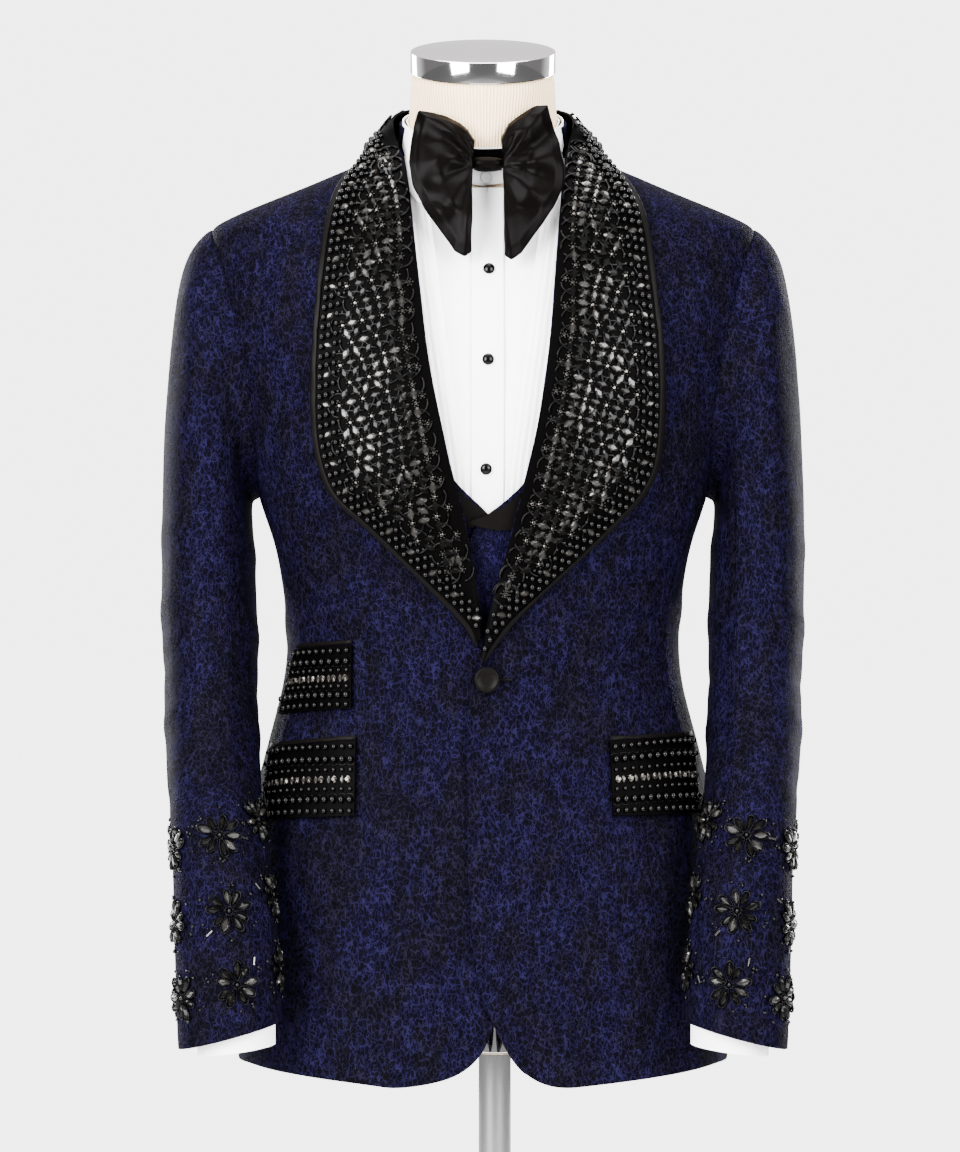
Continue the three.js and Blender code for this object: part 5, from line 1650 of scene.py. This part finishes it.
@dataclass
class BowTie:
    """Large drooping bow: two folded wings, the knot and the band round the collar."""

    knot_x: float = 0.0038
    knot_z: float = 1.0426

    def build(self) -> None:
        """Builds both wings, the knot and the band."""
        for word, side in (("right", -1), ("left", 1)):
            self._wing(word, side)
        piece = SolidPiece("bow_knot", BOW_SATIN, 3, 0.3).build()
        self._pleat(piece.data)
        strap = Cut(0.4, 0.017, 0.0066, "laid", ("shirt_collar_stand",))
        ClothPanel("bow_strap", BOW_SATIN, strap, 0.0008, levels=2).build()
        LOG.info("bow tie done")

    def _wing(self, word: str, side: int) -> None:
        """One wing: a plump folded shape whose folds fan out from the knot.

        Args:
            word: The wearer's side.
            side: -1 for the right wing, 1 for the left.
        """
        node = f"bow_{word}_wing"
        halved = bmesh.new()
        halved.from_mesh(subdivided(copy_of(node), 2, simple=True))
        mesh = subdivided(halved, 2)
        root = self.knot_x + side * 0.0104
        moved = np.empty(len(mesh.vertices) * 3, np.float32)
        for vertex in mesh.vertices:
            point, normal = vertex.co, vertex.normal
            out, up = side * (point.x - root) / MM, (point.z - self.knot_z) / MM
            lift = sum(fold.push(out, up) for fold in WING_FOLDS[word])
            crinkle = 0.0009 * noise.noise(point / 0.016 + Vector((side, 0, 0)))
            facing = -normal.y * (1.0 if normal.y < 0 else 0.35)
            spot = point + Vector((0, -1, 0)) * lift * facing + normal * crinkle
            moved[vertex.index * 3 : vertex.index * 3 + 3] = spot
        mesh.vertices.foreach_set("co", moved)
        mesh.update()
        piece = settle(link(node + "_cloth", mesh, BOW_SATIN), [node])

    def _pleat(self, mesh: bpy.types.Mesh) -> None:
        """Presses lengthwise pleats into the knot."""
        for vertex in mesh.vertices:
            depth = 0.0005 * math.sin((vertex.co.z - self.knot_z) / 0.0021 + 40 * (vertex.co.x - self.knot_x))
            vertex.co += vertex.normal * depth
        mesh.update()


# Garments


@dataclass
class Jacket:
    """Evening jacket: body panels, two-piece sleeves, shawl collar, flaps, button and beadwork."""

    wall: float = 0.0019
    panels: dict[str, ClothPanel] = field(default_factory=dict)

    HEM_CORNERS = {"jacket_right_front": (-0.065, -0.16, 0.322), "jacket_left_front": (0.057, -0.16, 0.322)}
    FRONT = Cut(0.26, 0.77, 0.137)
    SIDE = Cut(0.14, 0.53, 0.057)
    BACK = Cut(0.25, 0.76, 0.139)
    TOP = Cut(0.25, 0.67, 0.128, "hung", ("shirt_left_sleeve",))
    UNDER = Cut(0.13, 0.49, 0.048, "hung", ("shirt_left_sleeve",))
    COLLAR = Cut(0.17, 0.62, 0.035, "laid", ("jacket_left_front",))
    STAND = Cut(0.3, 0.04, 0.0065, "laid", ("shirt_collar_stand",))

    def build(self) -> None:
        """Builds every panel, then sews the beadwork on."""
        for word in ("right", "left"):
            front = FRONT_DRAPE if word == "left" else PANEL_DRAPE
            self._panel(f"jacket_{word}_front", JACQUARD, self.FRONT, front)
            self._panel(f"jacket_{word}_side", JACQUARD, self.SIDE, PANEL_DRAPE)
            self._panel(f"jacket_{word}_back", JACQUARD, self.BACK, PANEL_DRAPE)
            self._panel(f"{word}_top_sleeve", JACQUARD, self.TOP, SLEEVE_DRAPE)
            self._panel(f"{word}_under_sleeve", JACQUARD, self.UNDER, SLEEVE_DRAPE)
            self._panel(f"{word}_shawl_collar", LAPEL_SATIN, self.COLLAR, JACKET_DRAPE)
            SolidPiece(f"{word}_collar_piping", SATIN, 2, 0.35, JACKET_DRAPE).build()
        self._panel("jacket_collar_stand", JACQUARD, self.STAND, STILL)
        self._flaps()
        SolidPiece("front_button", SATIN, 2, 0.4, JACKET_DRAPE).build()
        self._buttonhole()
        self._beads()

    def _panel(self, node: str, finish: Finish, cut: Cut, drape: Drape) -> None:
        """Builds one panel and keeps it by its node's name.

        Args:
            node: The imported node.
            finish: Its cloth.
            cut: Its flat piece.
            drape: How it hangs.
        """
        soft = self.HEM_CORNERS.get(node)
        self.panels[node] = ClothPanel(node, finish, cut, self.wall, drape, soft_corner=soft)
        self.panels[node].build()
        LOG.info("panel %s", node)

    def _flaps(self) -> None:
        """Builds the three flaps and the narrow welt above each."""
        sizes = {
            "ticket_flap": (0.07, 0.06, 0.0038),
            "right_hip_flap": (0.09, 0.066, 0.0055),
            "left_hip_flap": (0.088, 0.064, 0.0053),
        }
        for node, size in sizes.items():
            self._panel(node, LAPEL_SATIN, Cut(*size, "laid", ("jacket_right_front",)), JACKET_DRAPE)
            SolidPiece(node + "_jet", SATIN, 1, 0.5, JACKET_DRAPE).build()
            FlapBeads(self.panels[node]).build()

    def _buttonhole(self) -> None:
        """Worked buttonhole beside the button: a short corded slit."""
        tree = self.panels["jacket_left_front"].surface()
        thread = BeadField("buttonhole_thread", SATIN)
        for step in range(9):
            place = Vector((0.0135 + step * 0.0011, -0.3, 0.6352))
            hit = tree.ray_cast(place, Vector((0, 1, 0)))
            if hit[0] is not None:
                thread.add(Shape.PEARL, Seat(hit[0], hit[1], Vector((0, 0, 1))), 0.0016, 0, (1.5, 1, 0.8))
        thread.build()

    def _beads(self) -> None:
        """Beadwork of the lapels and the sleeves."""
        for word, side in (("right", -1), ("left", 1)):
            LapelBeads(word, self.panels[f"{word}_shawl_collar"]).build()
            sleeve = (self.panels[f"{word}_top_sleeve"], self.panels[f"{word}_under_sleeve"])
            SleeveBeads(word, side, sleeve).build()


@dataclass
class Waistcoat:
    """Low-cut waistcoat: brocade fronts, satin back and satin lapels."""

    wall: float = 0.0013

    def build(self) -> None:
        """Builds the fronts, the lapels and the back."""
        for word in ("right", "left"):
            front = Cut(0.26, 0.56, 0.091)
            ClothPanel(f"waistcoat_{word}_front", BROCADE, front, self.wall, INNER_DRAPE).build()
            cut = Cut(0.03, 0.27, 0.0054, "laid", (f"waistcoat_{word}_front",))
            ClothPanel(f"waistcoat_{word}_lapel", SATIN, cut, 0.001, INNER_DRAPE).build()
        ClothPanel("waistcoat_back", SATIN, Cut(0.47, 0.55, 0.197), self.wall, INNER_DRAPE).build()
        LOG.info("waistcoat done")


@dataclass
class Shirt:
    """Dress shirt: pleated fronts, placket, collar, sleeves, cuffs, studs and collar button."""

    wall: float = 0.0009

    def build(self) -> None:
        """Builds the body, the collar, the sleeves and the fastenings."""
        for word in ("right", "left"):
            front = Cut(0.29, 0.6, 0.124)
            ClothPanel(f"shirt_{word}_front", WHITE, front, self.wall, levels=1, simple=True).build()
            sleeve = Cut(0.25, 0.62, 0.136, "hung", ("jacket_left_side",))
            ClothPanel(f"shirt_{word}_sleeve", WHITE, sleeve, self.wall, INNER_DRAPE).build()
            cuff = Cut(0.215, 0.06, 0.011, "hung", (f"shirt_{word}_sleeve",))
            ClothPanel(f"shirt_{word}_cuff", WHITE, cuff, 0.0018, levels=3).build()
        ClothPanel("shirt_back", WHITE, Cut(0.5, 0.6, 0.239), self.wall, INNER_DRAPE, rim_angle=45.0).build()
        ClothPanel("shirt_placket", WHITE, Cut(0.026, 0.55, 0.0133), self.wall, levels=1, simple=True).build()
        ClothPanel("shirt_collar_stand", WHITE, Cut(0.39, 0.04, 0.0102, "laid"), 0.0008, simple=True).build()
        leaf = Cut(0.38, 0.05, 0.0104, "folded", ("shirt_collar_stand",))
        ClothPanel("shirt_collar_leaf", WHITE, leaf, 0.001).build()
        for number in (1, 2, 3):
            SolidPiece(f"stud_{number}", STUD_BLACK, 2, 0.4).build()
        SolidPiece("collar_button", BUTTON_WHITE, 2, 0.4).build()
        LOG.info("shirt done")


@dataclass
class DressForm:
    """Limbless form under ribbed jersey, its neck cap, and the stand that it stands on."""

    neck_radius: float = 0.0583
    cap_centre: tuple[float, float, float] = (0.0, -0.0246, 1.12182)
    tilt: float = math.radians(16)
    pole_x: float = 0.0095
    pole_radius: float = 0.013
    rim_bevel: float = 0.0006
    segments: int = 96

    def build(self) -> None:
        """Builds the torso, the cap and the stand."""
        SolidPiece("form_torso", JERSEY, 2, 0.5).build()
        self._cap()
        self._stand()
        LOG.info("dress form done")

    def _turned(
        self, name: str, profile: list[tuple[float, float]], finish: Finish, node: str, place: Matrix
    ) -> bpy.types.Object:
        """Spins a profile of radius and height about the upright axis.

        Args:
            name: Name of the piece.
            profile: Radius and height of each point, both ends on the axis.
            finish: Its finish.
            node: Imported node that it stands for.
            place: Where it goes.

        Returns:
            The piece.
        """
        bm = bmesh.new()
        points = [bm.verts.new((radius, 0, height)) for radius, height in profile]
        lines = [bm.edges.new(pair) for pair in zip(points, points[1:])]
        bmesh.ops.spin(
            bm, geom=points + lines, axis=(0, 0, 1), cent=(0, 0, 0), angle=math.tau,
            steps=self.segments, use_merge=True,
        )
        bmesh.ops.remove_doubles(bm, verts=bm.verts, dist=1e-6)
        bmesh.ops.recalc_face_normals(bm, faces=bm.faces)
        rims = [
            edge for edge in bm.edges if len(edge.link_faces) == 2 and edge.calc_face_angle(0) > SHARP_EDGE
        ]
        bmesh.ops.bevel(
            bm, geom=rims, offset=self.rim_bevel, segments=2, profile=0.5, affect="EDGES", material=-1,
            clamp_overlap=True,
        )
        bmesh.ops.transform(bm, matrix=place, verts=bm.verts)
        mesh = bpy.data.meshes.new(name)
        bm.to_mesh(mesh)
        bm.free()
        piece = link(name, mesh, finish)
        mesh.set_sharp_from_angle(angle=TURNED_EDGE)
        return settle(piece, [node])

    def _cap(self) -> None:
        """Chrome cap with a polished band and a brushed, slightly crowned top."""
        radius, band, crown = self.neck_radius, 0.017, 0.0022
        profile = [
            (0, 0), (radius, 0), (radius, band), (radius * 0.975, band + 0.0004),
            (radius * 0.5, band + crown * 0.8), (0, band + crown),
        ]
        place = Matrix.Translation(self.cap_centre) @ Matrix.Rotation(self.tilt, 4, "X")
        cap = self._turned("neck_cap_metal", profile, CHROME, "neck_cap", place)
        cap.data.materials.append(CHROME_TOP.material())
        up = place.to_3x3() @ Vector((0, 0, 1))
        for face in cap.data.polygons:
            face.material_index = 1 if face.normal.dot(up) > 0.9 else 0

    def _stand(self) -> None:
        """Round base, two lengths of pole that meet at a thin joint, and the flange under the form."""
        at_pole = Matrix.Translation((self.pole_x, 0, 0))
        base = [
            (0, 0), (0.155, 0), (0.155, 0.0075), (0.152, 0.01), (0.093, 0.013), (0.021, 0.017), (0, 0.017),
        ]
        self._turned("stand_base_plate", base, CHROME, "stand_base", at_pole)
        for word, low, high in (("lower", 0.0173, 0.331), ("upper", 0.3313, 0.3654)):
            tube = [(0, low), (self.pole_radius, low), (self.pole_radius, high), (0, high)]
            self._turned(f"pole_{word}_tube", tube, CHROME, f"pole_{word}", at_pole)
        flange = [(0, 0.3657), (0.055, 0.3657), (0.055, 0.3717), (0, 0.3717)]
        self._turned("form_flange_plate", flange, STEEL, "form_flange", at_pole)


# Studio


@dataclass(frozen=True)
class Lamp:
    """Soft rectangular light: its place, the point that it faces, its size and power."""

    name: str
    place: tuple[float, float, float]
    target: tuple[float, float, float]
    width: float
    height: float
    power: float
    colour: Colour = (1.0, 1.0, 1.0)

    def build(self) -> None:
        """Adds the light."""
        data = bpy.data.lights.new(self.name, "AREA")
        data.shape, data.size, data.size_y = "RECTANGLE", self.width, self.height
        data.energy, data.color = self.power, self.colour
        lamp = bpy.data.objects.new(self.name, data)
        lamp.location = self.place
        away = Vector(self.target) - Vector(self.place)
        lamp.rotation_euler = away.to_track_quat("-Z", "Y").to_euler()
        bpy.context.scene.collection.objects.link(lamp)


@dataclass
class Studio:
    """Pale floor, even surroundings, soft lights and the camera."""

    floor_size: float = 60.0
    camera_place: tuple[float, float, float] = (-0.0024, -3.6, 0.7166)
    lens: float = 138.9
    wall: float = 4.75

    LAMPS = (
        Lamp("key_right", (-1.55, -2.1, 1.45), (0, 0, 0.8), 1.4, 2.0, 430),
        Lamp("key_left", (1.55, -2.1, 1.45), (0, 0, 0.8), 1.4, 2.0, 270),
        Lamp("overhead", (0, -0.1, 2.7), (0, 0, 0.9), 1.6, 1.2, 120),
        Lamp("back_right", (-1.6, 1.9, 1.2), (0, 0, 0.8), 0.9, 1.8, 130),
        Lamp("back_left", (1.6, 1.9, 1.2), (0, 0, 0.8), 0.9, 1.8, 130),
    )

    def build(self) -> None:
        """Adds the floor, the surroundings, the lights and the camera."""
        self._floor()
        self._surroundings()
        for lamp in self.LAMPS:
            lamp.build()
        data = bpy.data.cameras.new("camera")
        data.lens, data.sensor_width, data.sensor_fit = self.lens, 36.0, "AUTO"
        data.clip_start, data.clip_end = 0.1, 100.0
        camera = bpy.data.objects.new("camera", data)
        camera.location = self.camera_place
        camera.rotation_euler = (math.pi / 2, 0, 0)
        bpy.context.scene.collection.objects.link(camera)
        bpy.context.scene.camera = camera

    def _floor(self) -> None:
        """Wide plain floor at the base's underside, which fades into the room further out: the camera sees it
        glow at the backdrop's brightness there, while for other rays its colour darkens, painted shade.
        """
        bm = bmesh.new()
        bmesh.ops.create_grid(bm, x_segments=1, y_segments=1, size=self.floor_size / 2)
        mesh = bpy.data.meshes.new("floor")
        bm.to_mesh(mesh)
        bm.free()
        material = bpy.data.materials.new("floor_pale")
        material.use_nodes = True
        shader = material.node_tree.nodes["Principled BSDF"]
        shader.inputs["Roughness"].default_value = 0.9
        shader.inputs["Specular IOR Level"].default_value = 0.1
        shader.inputs["Emission Color"].default_value = (self.wall, self.wall, self.wall, 1)
        graph = Graph(material.node_tree)
        far = graph.node("VectorMath", {0: graph.place()}, operation="LENGTH").outputs["Value"]
        fade = graph.steps(far, 0.9, 1.9)
        seen = graph.math("MULTIPLY", fade, graph.node("LightPath").outputs["Is Camera Ray"])
        # Painted shade: further out the floor's colour darkens from pale to dark.
        pale = graph.blend(fade, (0.8, 0.8, 0.8, 1), (0.12, 0.12, 0.12, 1))
        graph.tree.links.new(graph.blend(seen, pale, (0, 0, 0, 1)), shader.inputs["Base Color"])
        graph.tree.links.new(seen, shader.inputs["Emission Strength"])
        mesh.materials.append(material)
        floor = bpy.data.objects.new("floor", mesh)
        bpy.context.scene.collection.objects.link(floor)

    def _surroundings(self) -> None:
        """Pale room, dark towards the camera's side, which polished metal shows."""
        world = bpy.data.worlds.new("room")
        world.use_nodes = True
        graph = Graph(world.node_tree)
        back = world.node_tree.nodes["Background"]
        parts = graph.node("SeparateXYZ", {0: graph.node("TexCoord").outputs["Generated"]})
        behind = graph.steps(parts.outputs[1], 0.2, 0.7)
        above = graph.steps(parts.outputs[2], 0.3, 0.8)
        ahead = graph.steps(graph.math("MULTIPLY", parts.outputs[1], -1.0), 0.93, 0.97)
        side = graph.blend(ahead, (0.3, 0.29, 0.29, 1), (0.16, 0.15, 0.15, 1))
        round_about = graph.blend(behind, side, (1.6, 1.6, 1.65, 1))
        room = graph.blend(above, round_about, (2.0, 2.0, 2.0, 1))
        seen = graph.node("LightPath").outputs["Is Camera Ray"]
        colour = graph.blend(seen, room, (self.wall, self.wall, self.wall, 1))
        world.node_tree.links.new(colour, back.inputs["Color"])
        bpy.context.scene.world = world


def corners(bounds: tuple[Vector, Vector]) -> list[list[float]]:
    """A box's two corners as plain lists."""
    return [list(corner) for corner in bounds]


def main() -> None:
    logging.basicConfig(level=logging.INFO, format="%(name)s: %(message)s")
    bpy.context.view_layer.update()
    Studio().build()
    DressForm().build()
    Shirt().build()
    Waistcoat().build()
    Jacket().build()
    BowTie().build()
    LOG.info("done")


if __name__ == "__main__":
    main()
